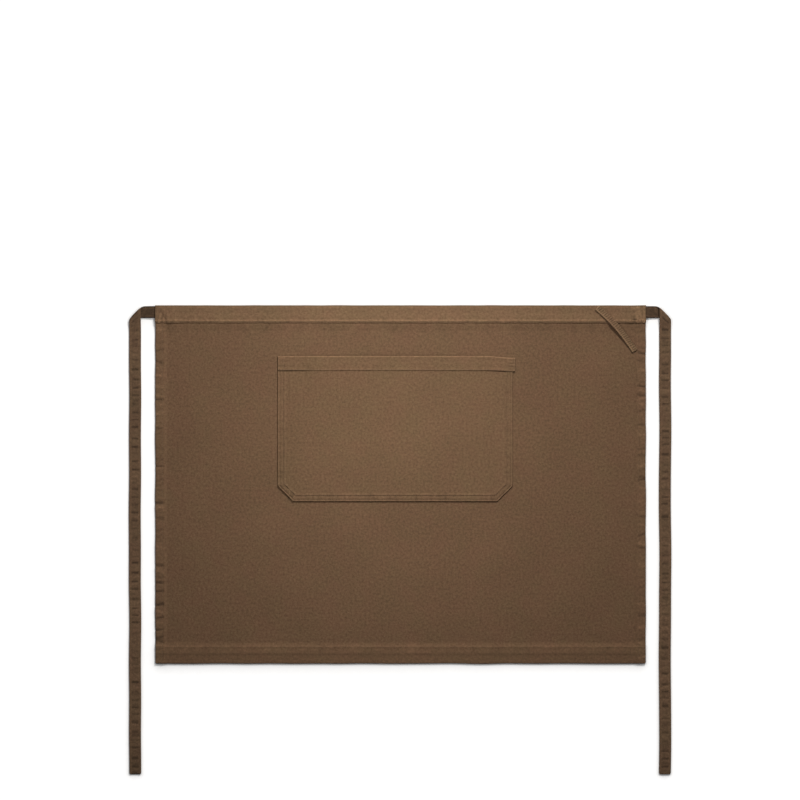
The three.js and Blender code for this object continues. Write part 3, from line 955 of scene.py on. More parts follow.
# How strongly the band's puckers show as painted highlights on their ridges and painted shade in their dips
BAND_PUCKER_SHADING = 0.22
SEAM_ROLLS = (Line(0.0242, 0.0011), Line(0.0273, 0.0008, 0.5))
ROLL_MEAN = 0.75
ROLL_WAVES = Field(0.022, 23, 0.35)
BAND_GROOVE = Line(BAND_STITCH, 0.0007, 0.9)
BAND_WANDER = Field(0.05, 24, 0.00012)
BAND_WANDER_END = 0.004
BAND_END_SHADE = 0.0009
BAND_FOLD_SHADE = 0.0011
BAND_ROW_INSET = 5
# Lines at distances below the top fold: the seam's painted shade, the painted highlight on its rolled edge
# and a painted highlight on the top
BAND_LINES = (Line(0.0270, 0.0009, -0.25), Line(0.0241, 0.0009, 0.6), Line(0.0026, 0.0011, 0.22))
# Marks at the right end: the painted shade of the pucker below the ties, the tack above it and the end's
# stitches
END_PUCKER_SHADE = (Line(0.0175, 0.004, -1.1), Line(0.0226, 0.0012))
END_TACK = (0.009, 0.0105, 0.022, 0.0245)
END_TACK_LINE = Line(0.0042, 0.0022, 0.45)
END_LINE = Line(BAND_END_STITCH, 0.0009, 0.8)


def band_fullness(s, x):
    """How full the band's open ends are: 1 over the tucked ties and side hems, 0 in the middle."""
    full = max(s.tie_tuck, s.side_hem + SIDE_HEM_ROOM) + s.sewn_gap
    return 1 - smooth(from_side(s, x), full, full + s.band_end_ease)


def band_top_thickness(s, x):
    """Outer height of the band beside its top fold, where it holds the ties."""
    return 2 * s.cloth_wall + blend(s.band_slack, s.tie_thickness + 2 * s.sewn_gap, band_fullness(s, x))


def band_front(s, x, drop):
    """Height of the band's smooth front at a distance below its top fold."""
    low = 3 * s.cloth_wall + 2 * s.sewn_gap + s.cloth_wall * band_fullness(s, x)
    return blend(band_top_thickness(s, x), low, smooth(drop, s.ridge_drop * s.ridge_share, s.ridge_drop))


def band_puckers(s, x, drop):
    """Puckers along the band's stitched edge and, stronger, at its two ends."""
    edge = puckers(x, drop, s.span, EDGE_GATHERS) * smooth(drop, *EDGE_PUCKER_START)
    ends = puckers(x, drop, s.span, END_GATHERS) * (1 - smooth(from_side(s, x), *END_PUCKER_REACH))
    return edge + ends * smooth(drop, *END_PUCKER_START)


def band_relief(s, x, drop):
    """Fine relief of the band's front: its rolled edge, its stitch line and its puckers."""
    uneven = ROLL_MEAN + waves(x, drop, ROLL_WAVES)
    roll = s.seam_roll * uneven * lines(drop, *SEAM_ROLLS)
    groove = s.groove_depth * lines(drop, BAND_GROOVE)
    return roll - groove + s.pucker_height * BAND_PUCKER_SHARE * band_puckers(s, x, drop)


def band_stations(s):
    """Columns of the band's grid, and the distances below the top fold of its front and back rows."""
    fold = fold_stations(s.cloth_wall)
    ends = edge_stations(s.cloth_wall, [BAND_END_STITCH, BAND_END_BORDER], BAND_END_PITCHES)
    columns = s.apron_left + across_stations(ends, s.skirt_width, BAND_PITCH)
    lower = edge_stations(s.cloth_wall, [s.band_height - BAND_STITCH, BAND_FRONT_FROM], BAND_EDGE_PITCHES)
    upper = np.linspace(BAND_FRONT_FROM, s.band_height - BAND_FOLD_RADIUS, BAND_FRONT_ROWS)[1:]
    front_drops = s.band_height - np.concatenate([lower, upper])
    back_drops = np.linspace(BAND_FOLD_RADIUS, s.band_height - BAND_BACK_EDGE, BAND_BACK_ROWS)
    back_drops = np.concatenate([back_drops, s.band_height - fold[::-1]])
    if (len(front_drops) + len(back_drops)) % 2:
        back_drops = np.insert(back_drops, 1, (back_drops[0] + back_drops[1]) / 2)
    return columns, front_drops, back_drops


def band_tone(s, x, drop):
    """How much lighter or darker the band's front is, about 0 where it is plain: painted highlights and shade
    on its puckers, seam and top fold, painted shade in the pucker at its right end, and lighter lines on the
    tack and the end's stitches.
    """
    right_end = s.apron_right - x
    near, gone_near, far, gone_far = END_TACK
    tack = smooth(right_end, near, gone_near) * (1 - smooth(right_end, far, gone_far))
    pucker = lines(right_end, END_PUCKER_SHADE[0]) * lines(drop, END_PUCKER_SHADE[1])
    along = lines(drop, *BAND_LINES) + lines(right_end, END_LINE)
    tack = tack * lines(drop, END_TACK_LINE)
    return BAND_PUCKER_SHADING * band_puckers(s, x, drop) + along + pucker + tack


def build_waistband():
    """The band, folded over the panel's top edge and stitched along its lower edge."""
    s = sizes()
    columns, front_drops, back_drops = band_stations(s)
    radius = BAND_FOLD_RADIUS
    x_front, drop_front = np.meshgrid(columns, front_drops)
    beside = smooth(drop_front, radius, BAND_FRONT_FROM)
    front_z = band_front(s, x_front, drop_front) + beside * band_relief(s, x_front, drop_front)
    turns = np.linspace(math.pi / 2, -math.pi / 2, BAND_FOLD_ROWS)[1:-1]
    x_fold, turn = np.meshgrid(columns, turns)
    fold_z = band_top_thickness(s, columns)[None, :] / 2 * (1 + np.sin(turn))
    x_back, drop_back = np.meshgrid(columns, back_drops)
    x = np.concatenate([x_front, x_fold, x_back])
    drop = np.concatenate([drop_front, radius - radius * np.cos(turn), drop_back])
    z = np.concatenate([front_z, fold_z, np.zeros_like(x_back)])
    wander = waves(x, x * 0, BAND_WANDER) * (1 - smooth(drop, 0, BAND_WANDER_END))
    outer = np.stack([x, s.top - drop + wander, z], -1)

    side = from_side(s, x)
    normal = normals_of(outer)
    rim = fold_profile(np.minimum(s.band_height - drop, side), s.cloth_wall)
    middle = outer - normal * s.cloth_wall / 2
    outer_points, inner_points = sheet_sides(middle, normal, s.cloth_wall / 2 * rim)
    on_front = np.zeros_like(x)
    on_front[:len(front_drops)] = 1
    marks = {
        "wear": np.clip(NEUTRAL_LIGHT_AND_WEAR + on_front * band_tone(s, x, drop), 0, 1),
        # The fold mark is painted shade along the band's ends and its top fold
        "fold": np.maximum(fade_inwards(side, BAND_END_SHADE), fade_inwards(drop, BAND_FOLD_SHADE)),
    }
    along = np.concatenate([[0], np.cumsum(np.linalg.norm(np.diff(outer[:, 0], axis=0), axis=-1))])
    uv = np.stack([x, np.broadcast_to(-along[:, None], x.shape)], -1)
    mesh = cloth_mesh("folded_band", outer_points, inner_points, uv, marks)
    material = canvas_material(s, "band_canvas", s.band_colour, (0.31, 0.17, 0))
    band = add_piece("folded_band", mesh, material, "waistband")

    seam = nearest(front_drops, BAND_STITCH)
    rear = len(x) - len(back_drops) + nearest(back_drops, BAND_STITCH)
    inside = slice(seam, len(front_drops) - 2)
    seams = [row_along(outer_points, normal, index, BAND_ROW_INSET) for index in (seam, rear)]
    for place in (s.apron_left + BAND_END_STITCH, s.apron_right - BAND_END_STITCH):
        column = nearest(columns, place)
        seams.append((outer_points[inside, column], normal[inside, column]))
    stitches = sew(s, "band_stitches", seams)


# Patch pocket

OUTER_STITCH = 0.003
INNER_STITCH = 0.0092
MOUTH_STITCH = 0.0216
MOUTH_TURNING = 0.0108
POCKET_GROOVE = 0.0006
POCKET_PITCH = 0.0021
RIPPLES = (Line(0.339, 0.0045), Line(0.330, 0.005, -0.7))
RIPPLE_HEIGHT = 0.00045
RIPPLE_ENDS = ((0.012, 0.042), (0.12, 0.17))
SLACK = Field(0.06, 31, 0.0003)
SLACK_START = 0.04
POCKET_PITCHES = (0.0008, 0.0011, 0.0006, 0.0016)
MOUTH_PITCHES = (0.0014, 0.0012, 0.0004, 0.0008)
BELOW_MOUTH = 0.003
SAG_START = 0.75
# Where the border's puckers, the border, the mouth hem and the turned-in edge end, past their edges
BORDER_PUCKER_END = (-0.002, 0.003)
BORDER_END = (-0.0004, 0.0014)
MOUTH_END = (-0.0003, 0.0006)
TURNING_END = (-0.0012, 0.0)
MOUTH_PUCKER_LINE = Line(0.019, 0.005)
POCKET_GROOVE_DEPTH = 1.4
BODY_SHARE = 0.6
# The part with the clipped corners, as shares of the clip, and strengths above it and on it of the painted
# shade in the stitch lines, the painted highlight on the rim and the painted shade on the edge
LOWER_PART = (0.8, 1.3)
STITCH_SHADES = (0.15, 0.48)
RIM_HIGHLIGHT_SHARES = (0.25, 1.0)
EDGE_SHADES = (0.08, 1.68)
STITCH_SHADE_WIDTH = 0.0008
EDGE_SHADE_WIDTH = 0.0010
LEFT_EDGE_WIDTH = 0.0012
# How strongly the pocket's puckers show as painted highlights on their ridges and painted shade in their dips
POCKET_PUCKER_SHADING = 0.3
MOUTH_SHADE_REACH = (0.012, 0.06)
MOUTH_ROW_INSET = 4
BORDER_GATHERS = Gathers(0.0085, 0.0017, 33, 0.6)
BASE_GATHERS = Gathers(0.0085, 0.0017, 34, 0.6)
MOUTH_GATHERS = Gathers(0.011, 0.0024, 35, 0.35, 0.8)
# Heights of the border and mouth hem over the body, of the turned-in edge, and how far the body sinks
BORDER_STEP = 0.0008
TURNING_STEP = 0.00032
BODY_SINK = 0.0005
MOUTH_LIPS = (Line(MOUTH_STITCH + 0.0011, 0.0006, 0.00025), Line(0.0012, 0.0012, 0.0002))
# Painted highlights at distances below the mouth's edge, and the painted shade below the mouth hem
MOUTH_HIGHLIGHTS = (Line(MOUTH_STITCH - 0.0012, 0.0012, 0.25), Line(0.0009, 0.001, 0.45))
MOUTH_SHADE = Line(0.0006, 0.0009, 1.2)
MOUTH_SHADE_ENDS = (0.1, 1.0)
# A painted highlight along the pocket's folded rim
RIM_HIGHLIGHT = Line(0.0016, 0.0009, 0.6)
MOUTH_TACK = Line(0.0065, 0.0042, 0.35)
MOUTH_TACK_PITCH = 0.0052
# The pocket's base tone, and the painted light that lifts the shade along its left edge
POCKET_BASE_TONE = 0.53
LEFT_EDGE_HIGHLIGHT = 0.4


def clip_shift(s, side, low):
    """How far a point moves so that the outline's corner, and each line parallel to it, is cut off."""
    inner = np.minimum(side, low)
    cut = s.corner_clip - (2 - math.sqrt(2)) * inner
    return np.clip(cut - (side - inner) - (low - inner), 0, None) / 2


def pocket_sides(s, column, row):
    """Distances of a point of the pocket from its nearer side, from its border and from its mouth."""
    side = np.minimum(column, s.pocket_width - column)
    return side, np.minimum(side, row), s.pocket_height - row


def pocket_standoff(s, column, row):
    """How far the pocket's slack front stands off the panel, most in the middle of the mouth."""
    side = np.minimum(column, s.pocket_width - column) - s.pocket_border
    across = np.clip(side / (s.pocket_width / 2 - s.pocket_border), 0, 1)
    up = np.clip((row - s.pocket_border) / (s.pocket_height - s.pocket_border), 0, 1)
    ripple = lines(column, *RIPPLES) * smooth(row, *RIPPLE_ENDS[0]) * (1 - smooth(row, *RIPPLE_ENDS[1]))
    slack = waves(column, row, SLACK) * smooth(side, 0, SLACK_START) * up
    crown = s.pocket_crown * (1 - (1 - across) ** 3) * np.sin(up * math.pi / 2)
    return crown + RIPPLE_HEIGHT * ripple + slack


def pocket_plan(s, column, row):
    """Where a point of the pocket lies on the panel."""
    side = np.minimum(column, s.pocket_width - column)
    shift = clip_shift(s, side, row)
    centred = column - s.pocket_width / 2
    rightward = np.clip(centred, 0, None) / (s.pocket_width / 2)
    mouth_low = s.pocket_height - s.mouth_hem
    overhang = s.mouth_overhang * rightward * smooth(row, mouth_low - 2 * s.hem_step, mouth_low + s.hem_step)
    sag = s.mouth_droop * smooth(rightward, SAG_START, 1)
    sag *= smooth(row, mouth_low - s.mouth_hem, s.pocket_height)
    x = s.apron_x - s.pocket_left + centred - np.sign(centred) * shift + overhang
    y = s.top - s.pocket_drop - s.pocket_height + row + shift - sag
    return x, y


def pocket_puckers(s, column, row):
    """Puckers across the pocket's stitched border and along its mouth."""
    side, _, down = pocket_sides(s, column, row)
    sideways = puckers(row, side, (0, s.pocket_height), BORDER_GATHERS)
    sideways *= 1 - smooth(side - s.pocket_border, *BORDER_PUCKER_END)
    bottom = puckers(column, row, (0, s.pocket_width), BASE_GATHERS)
    bottom *= 1 - smooth(row - s.pocket_border, *BORDER_PUCKER_END)
    mouth = puckers(column, down, (0, s.pocket_width), MOUTH_GATHERS)
    return sideways + bottom + mouth * lines(down, MOUTH_PUCKER_LINE)


def border_lines(s, column, row, width):
    """The two stitch lines along the border, each of height 1, below the mouth hem."""
    _, inner, down = pocket_sides(s, column, row)
    rows = np.maximum(ridge(inner, OUTER_STITCH, width), ridge(inner, INNER_STITCH, width))
    return rows * (down > s.mouth_hem)


def pocket_relief(s, column, row):
    """Relief of the pocket's front: its border and mouth hem stand a layer higher than its body."""
    _, inner, down = pocket_sides(s, column, row)
    border = 1 - smooth(inner - s.pocket_border, *BORDER_END)
    mouth = 1 - smooth(down - s.mouth_hem, *MOUTH_END)
    turned = smooth(down - MOUTH_TURNING, *TURNING_END) * mouth
    grooves = border_lines(s, column, row, POCKET_GROOVE)
    grooves = np.maximum(grooves, ridge(down, MOUTH_STITCH, POCKET_GROOVE))
    height = BORDER_STEP * np.maximum(border, mouth) + TURNING_STEP * turned - BODY_SINK
    height += lines(down, *MOUTH_LIPS) - POCKET_GROOVE_DEPTH * s.groove_depth * grooves
    return height + s.pucker_height * pocket_puckers(s, column, row)


def pocket_marks(s, column, row):
    """The pocket's painted highlights on its mouth, rim and left edge, its painted shade below the mouth hem,
    in its stitch lines and along its edges, its puckers' painted highlights and shade, and its tack's lighter
    and darker stitches.
    """
    side, inner, down = pocket_sides(s, column, row)
    lower = 1 - smooth(row / s.corner_clip, *LOWER_PART)
    towards_side = blend(*MOUTH_SHADE_ENDS, 1 - smooth(side, *MOUTH_SHADE_REACH))
    mouth_shade = towards_side * lines(down - s.mouth_hem, MOUTH_SHADE)
    stitched = border_lines(s, column, row, STITCH_SHADE_WIDTH) * blend(*STITCH_SHADES, lower)
    rim = lines(inner, RIM_HIGHLIGHT) * blend(*RIM_HIGHLIGHT_SHARES, lower)
    tack = lines(s.pocket_width - column, MOUTH_TACK) * np.sin(down * math.tau / MOUTH_TACK_PITCH)
    left_edge = LEFT_EDGE_HIGHLIGHT * fade_inwards(column, LEFT_EDGE_WIDTH) * (1 - lower)
    bright = lines(down, *MOUTH_HIGHLIGHTS) + rim + tack * (down < MOUTH_STITCH) + left_edge
    wear = POCKET_BASE_TONE + POCKET_PUCKER_SHADING * pocket_puckers(s, column, row) + bright - mouth_shade - stitched
    fold = fade_inwards(inner, EDGE_SHADE_WIDTH) * blend(*EDGE_SHADES, lower)
    return {"wear": np.clip(wear, 0, 1), "fold": fold}


def border_walk(points, normals, column, row, width):
    """A row of stitches down one side of the pocket, along its bottom and up the other side."""
    top = len(points) - 1
    down = [(r, column) for r in range(top, row, -1)]
    along = [(row, c) for c in range(column, width - 1 - column)]
    up = [(r, width - 1 - column) for r in range(row, top + 1)]
    rows, columns = zip(*(down + along + up))
    return points[rows, columns], normals[rows, columns]


def pocket_stations(s):
    """Columns and rows of the pocket's grid, fine on its border and on its mouth hem."""
    layers = 2 * s.cloth_wall
    marks = [OUTER_STITCH, INNER_STITCH, s.pocket_border, s.corner_clip]
    border = edge_stations(layers, marks, POCKET_PITCHES)
    marks = [MOUTH_TURNING, MOUTH_STITCH, s.mouth_hem, s.mouth_hem + BELOW_MOUTH]
    from_top = edge_stations(layers, marks, MOUTH_PITCHES)
    body = fill_stations([border[-1], s.pocket_height - from_top[-1]], [POCKET_PITCH])[1:]
    rows = odd(np.concatenate([border, body[:-1], (s.pocket_height - from_top)[::-1]]))
    return across_stations(border, s.pocket_width, POCKET_PITCH), rows


def build_patch_pocket():
    """The wide patch pocket, with clipped corners, a stitched border and a hemmed, slightly open mouth."""
    s = sizes()
    columns, rows = pocket_stations(s)
    column, row = np.meshgrid(columns, rows)
    x, y = pocket_plan(s, column, row)
    _, inner, down = pocket_sides(s, column, row)
    doubled = (inner <= s.pocket_border) | (row >= s.pocket_height - s.mouth_hem)
    seat = panel_front(s, x, y) + s.sewn_gap + pocket_standoff(s, column, row)
    top = seat + 2 * s.cloth_wall + pocket_relief(s, column, row)
    under = np.where(doubled, seat, seat + s.cloth_wall * BODY_SHARE)
    front, back = layered(x, y, top, under, fold_profile(np.minimum(inner, down), 2 * s.cloth_wall))
    uv = np.stack([column, row], -1)
    mesh = cloth_mesh("pocket_cloth", front, back, uv, pocket_marks(s, column, row))
    material = canvas_material(s, "pocket_canvas", s.pocket_colour, (0.13, 0.57, 0))
    pocket = add_piece("pocket_cloth", mesh, material, "patch_pocket")

    up = normals_of(front)
    seams = [
        border_walk(front, up, nearest(columns, inset), nearest(rows, inset), len(columns))
        for inset in (OUTER_STITCH, INNER_STITCH)
    ]
    seams.append(row_along(front, up, nearest(rows, s.pocket_height - MOUTH_STITCH), MOUTH_ROW_INSET))
    stitches = sew(s, "pocket_stitches", seams)


# Ties

TIE_STITCH = 0.0028
TIE_PITCH = 0.0018
TIE_EDGE_PITCHES = (0.0007, 0.0011)
TIE_BAR = 0.0135
BAR_DRIFT = Field(0.05, 80, 1.4)
BAR_DEPTH = 0.95
BAR_UNEVEN = Field(0.03, 90, 0.6)
BAR_SLANT = 0.3
TIE_MIDDLE = 0.0025
TIE_GROOVE = 0.0007
TIE_WANDER = Field(0.13, 40, 0.00035)
WANDER_START = (0.05, 0.12)
# Rows of points in the tuck, on the stub, round the fold and on the way down to the floor
TUCK_ROWS = 12
STUB_ROWS = 13
TURN_ROWS = 25
FALL_ROWS = 20
SQUARE_AFTER = 1.5
# Where a tie leaves the band, as shares of its stub, and where its fold stands and the painted shade on its
# stub ends, as shares of its width
LEAVING = (0.05, 0.7)
STANDING_FROM = 0.35
HIDDEN = (0.4, 0.9)
FOLD_SOFTNESS = 0.0042
PUCKER_LIFT = 0.45
PUCKER_MOST = 1.1
DIP_SHARE = 0.75
DIP_MEAN = 0.55
DIP_SWING = 0.45
DIP_MOST = 1.2
LONG_GATHERS = Gathers(0.0115, 0.0023, 50, slant=0.5)
SHORT_GATHERS = Gathers(0.0085, 0.0018, 60)
TIE_EDGE_GATHERS = Gathers(0.006, 0.0014, 70, 0.35)
# The long puckers' strength near the band and near the free end, and the short puckers' the other way
LONG_STRENGTH = (0.48, 0.3)
SHORT_STRENGTH = (0.15, 0.54)
LATE = (0.3, 0.72)
# Where the diagonal fold's two corners are rounded: depth, and the way that the cloth moves out and down
FOLD_CORNERS = ((0.0012, -0.38, 0.92), (0.00072, -0.92, 0.38))
# Painted shade on the stub between the band and the fold: dark lines along it and a painted shadow beside its
# fold
STUB_LINES = (Line(0.0033, 0.0010, 0.6), Line(0.0083, 0.0012, 0.8))
STUB_FOLD_LINE = Line(-0.0014, 0.0012, 1.2)
STUB_SHADE = 0.4
STUB_LINE_SHADE = 0.7
# Where a tie is worn pale, as distances along it, and how strongly its marks show: the wear, the painted
# highlights and shade on its puckers and cross bars, its stitch lines, and the painted shade on its edges and
# stub
WORN_FROM = (0.25, 0.6)
WORN_TO = (0.70, 0.75)
WORN_LOST = 0.8
WORN_WEAR = 0.2
FIELD_SHADING = 0.55
GROOVE_WEAR = 0.2
TIE_EDGE_SHADE = (0.0008, 0.75)
STUB_EDGE_SHADE = (0.002, 0.8)
SHADE_MOST = 1.2
SEAM_INSET = 4
END_SEAM_INSET = 6
TIE_GRAIN = 1.15


def folded_point(s, tie, out, down):
    """Where a flat point of a tie lies once the tie is folded over on the diagonal.

    out is the distance past the band's end and down the distance below the tie's top edge, both
    before the fold.
    """
    beyond = (out - tie.away - down) / math.sqrt(2) + s.fold_radius * math.pi / 2
    turn = np.clip(beyond / s.fold_radius, 0, math.pi)
    back = np.clip(beyond - s.fold_radius * math.pi, 0, None)
    shift = np.where(beyond > 0, s.fold_radius * np.sin(turn) - back - beyond, 0)
    rest_out = out + shift / math.sqrt(2)
    rest_down = down - shift / math.sqrt(2)
    leaving = 1 - smooth(out / tie.away, *LEAVING)
    base = blend(s.tie_thickness / 2 + s.pucker_height / 2, s.tie_lift, leaving)
    standing = 1 - smooth(rest_down, s.tie_width * STANDING_FROM, s.tie_width + s.fold_fall)
    rise = s.fold_radius * (1 - np.cos(turn)) * standing
    wander = waves(rest_down, rest_down * 0, TIE_WANDER, tie.side) * smooth(rest_down, *WANDER_START)
    places = ((tie.away, 0), (tie.away + s.tie_width, s.tie_width))
    for (place_out, place_down), (depth, way_out, way_down) in zip(places, FOLD_CORNERS):
        distance = (rest_out - place_out) ** 2 + (rest_down - place_down) ** 2
        near = depth * fade_inwards(distance, FOLD_SOFTNESS ** 2)
        rest_out, rest_down = rest_out + way_out * near, rest_down + way_down * near
    x = s.apron_x + tie.side * (s.skirt_width / 2 + rest_out) + wander
    return np.stack([x, s.top - s.tie_inset - rest_down, base + rise], -1)


def tie_stations(s, tie):
    """Stations along a tie's middle line, and how far each section is slanted to follow the fold."""
    roll = s.fold_radius * math.pi / math.sqrt(2)
    fold_middle = tie.away + s.tie_width / 2
    fold_start, fold_end = fold_middle - roll, fold_middle + roll
    square = fold_end + s.tie_width * SQUARE_AFTER
    fold = fold_stations(s.tie_thickness)
    stations = odd(np.concatenate([
        -s.tie_tuck + fold[:-1],
        np.linspace(-s.tie_tuck + fold[-1], 0, TUCK_ROWS),
        np.linspace(0, fold_start, STUB_ROWS)[1:-1],
        np.linspace(fold_start, fold_end, TURN_ROWS),
        np.linspace(fold_end, square, FALL_ROWS)[1:],
        fill_stations([square, tie.free - fold[-1]], [TIE_PITCH])[1:],
        (tie.free - fold[:-1])[::-1],
    ]))
    rising = smooth(stations, 0, fold_start)
    falling = 1 - smooth(stations, fold_end, square)
    return stations, np.where(stations < fold_middle, rising, falling)


def tie_relief(s, tie, along, across):
    """Relief of a tie's faces, from 0 in its stitch lines to about 1 on the puckers between them."""
    from_edge = s.tie_width / 2 - np.abs(across)
    middle = smooth(from_edge, TIE_STITCH, TIE_STITCH + TIE_MIDDLE)
    late = smooth(along, *LATE)
    span = (-s.tie_tuck, tie.free)
    field = puckers(along, across, span, LONG_GATHERS, tie.side) * blend(*LONG_STRENGTH, late)
    field += puckers(along, across, span, SHORT_GATHERS, tie.side) * blend(*SHORT_STRENGTH, late)
    edge = puckers(along, across * 0, span, TIE_EDGE_GATHERS, tie.side) * (1 - middle)
    beat = np.sin(math.tau * along / TIE_BAR + waves(along, along * 0, BAR_DRIFT, tie.side))
    uneven = BAR_DEPTH + waves(along, across * BAR_SLANT, BAR_UNEVEN, tie.side)
    bars = -np.clip(beat, 0, 1) ** 4 * uneven
    return (field + bars) * middle + edge, ridge(from_edge, TIE_STITCH, TIE_GROOVE)


def tie_marks(s, tie, out, along, across, edge):
    """How worn a tie is, with painted highlights and shade on its puckers and cross bars, painted shade along
    its edges, and the painted shade on its stub beside the band.
    """
    field, groove = tie_relief(s, tie, along, across)
    hidden = 1 - smooth((along - tie.away) / s.tie_width, *HIDDEN)
    worn = smooth(along, *WORN_FROM) * (1 - WORN_LOST * smooth(along, *WORN_TO))
    # Painted shade lines on the stub and the painted shadow beside its fold, over the painted shade of the
    # whole stub
    under = lines(out - tie.away, STUB_FOLD_LINE) + lines(across, *STUB_LINES)
    wear = NEUTRAL_LIGHT_AND_WEAR + WORN_WEAR * worn + FIELD_SHADING * field + GROOVE_WEAR * groove
    wear -= hidden * (STUB_SHADE + STUB_LINE_SHADE * under)
    # The fold mark is painted shade along the tie's edges, deeper on the stub
    fold = fade_inwards(edge, *TIE_EDGE_SHADE) + hidden * fade_inwards(edge, *STUB_EDGE_SHADE)
    return {"wear": np.clip(wear, 0, 1), "fold": np.clip(fold, 0, SHADE_MOST)}


def build_tie(s, tie):
    """One flat tie: tucked into the band, folded over on the diagonal and laid straight down."""
    along, slant = tie_stations(s, tie)
    half_across = edge_stations(s.tie_thickness, [TIE_STITCH, s.tie_width / 2], TIE_EDGE_PITCHES)
    half_across = half_across - s.tie_width / 2
    across = odd(np.concatenate([half_across[:-1], -half_across[::-1]])) * -tie.side
    c, a = np.meshgrid(across, along)
    out = a + c * slant[:, None]
    from_edge = s.tie_width / 2 - np.abs(c)
    corner = np.clip(s.tie_corner - (tie.free - a) - from_edge, 0, None) / 2
    middle = folded_point(s, tie, out - corner, c - np.sign(c) * corner + s.tie_width / 2)
    normal = normals_of(middle)
    edge = np.minimum(np.minimum(from_edge, tie.free - a), a + s.tie_tuck)
    field, groove = tie_relief(s, tie, a, c)
    dip = s.pucker_height * (DIP_MEAN - DIP_SWING * np.clip(field, -DIP_MOST, DIP_MOST))
    dip += s.groove_depth / 2 * groove
    half = (s.tie_thickness / 2 - dip * DIP_SHARE) * fold_profile(edge, s.tie_thickness)
    loose = smooth(a, tie.away + s.tie_width, tie.away + 2 * s.tie_width)
    middle[..., 2] += np.clip(field, -PUCKER_MOST, PUCKER_MOST) * loose * s.pucker_height * PUCKER_LIFT
    front, back = sheet_sides(middle, normal, half)
    mesh = cloth_mesh(tie.name, front, back, np.stack([c, a], -1), tie_marks(s, tie, out, a, c, edge))
    place = (0.4 + 0.1 * tie.side, 0.9, 0)
    material = canvas_material(s, tie.node + "_canvas", s.tie_colour, place, TIE_GRAIN)
    piece = add_piece(tie.name, mesh, material, tie.node)

    seams = []
    for line in (TIE_STITCH - s.tie_width / 2, s.tie_width / 2 - TIE_STITCH):
        column = nearest(across, line)
        seams.append(row_down(front, normal, column, SEAM_INSET))
        seams.append(row_down(back, -normal, column, SEAM_INSET))
    seams.append(row_along(front, normal, nearest(along, tie.free - TIE_STITCH), END_SEAM_INSET))
    stitches = sew(s, tie.name + "_stitches", seams)


def build_ties():
    """Both ties."""
    s = sizes()
    for tie in (s.left_tie, s.right_tie):
        build_tie(s, tie)


# Towel loop

LOOP_PITCHES = (0.00055, 0.0006)
LOOP_RIB = 0.0036
LOOP_RIB_SLANT = 0.12
LOOP_END_STITCH = 0.0022
LOOP_EDGE_STITCH = 0.0014
# How deep the ribs lie under the tape's full thickness, how high they are, and the lip's and seams' part
RIB_DEPTH = 0.00024
RIB_HEIGHT = 0.00016
LIP_HEIGHT = 0.0002
LOOP_LIP = Line(0.0021, 0.0009)
# A painted highlight on the loop's upper end
LOOP_TOP_HIGHLIGHT = Line(0.0012, 0.0015, 1.2)
RIB_DRIFT = Field(0.02, 81, 0.8)
RIB_MOST = 1.3
END_STITCH_DIP = 0.0006
SEAT_STITCH_DIP = 0.0007
SEAT_STITCH = 0.001
ARCH_POWER = 1.3
LEAN_POWER = 0.6
SLOPE_STEP = 0.01
# How strongly the ribs show as painted highlights and shade and the lip as a painted highlight, and the
# painted shadow along the edge that faces away from the corner
LOOP_BASE_TONE = 0.54
RIB_SHADING = 0.34
LIP_HIGHLIGHT = 0.8
LOOP_TONE_MOST = 1.4
LOOP_EDGE_SHADE = (0.0008, 1.8)
LOOP_GRAIN = 0.8
TAPE_RIB = 0.0011
LOOP_ROW_INSET = 5
TACK_LENGTH = 0.0016


def loop_line(s, way):
    """The loop's middle line on the apron, bowed a little towards the corner."""
    reach = math.hypot(s.loop_span, s.loop_fall)
    bow = s.loop_bow * np.sin(way * math.pi)
    x = s.apron_right - s.loop_side + s.loop_span * way + bow * s.loop_fall / reach
    y = s.top - s.loop_top - s.loop_fall * way + bow * s.loop_span / reach
    return np.stack([x, y], -1)


def loop_middle(s, way, across):
    """The loop's middle surface, seated on the band and on the panel and arched between them."""
    seat_share = s.loop_seat / math.hypot(s.loop_span, s.loop_fall)
    line = loop_line(s, way)
    ahead = loop_line(s, way + SLOPE_STEP) - loop_line(s, way - SLOPE_STEP)
    ahead /= np.linalg.norm(ahead, axis=-1, keepdims=True)
    x = line[..., 0] - ahead[..., 1] * across
    y = line[..., 1] + ahead[..., 0] * across
    on_band = band_front(s, x, np.clip(s.top - y, 0, None))
    on_panel = panel_front(s, x, np.minimum(y, s.band_low - s.cloth_wall - s.band_rise))
    between = (way - seat_share) / (1 - 2 * seat_share)
    seat = blend(on_band, on_panel, smooth(between, 0, 1))
    open_share = np.sin(np.clip(between, 0, 1) * math.pi)
    arch = s.loop_arch * open_share ** ARCH_POWER
    lean = s.loop_lean * open_share ** LEAN_POWER * (across / s.loop_width)
    return np.stack([x, y, seat + s.sewn_gap + s.loop_thickness / 2 + arch + lean], -1)


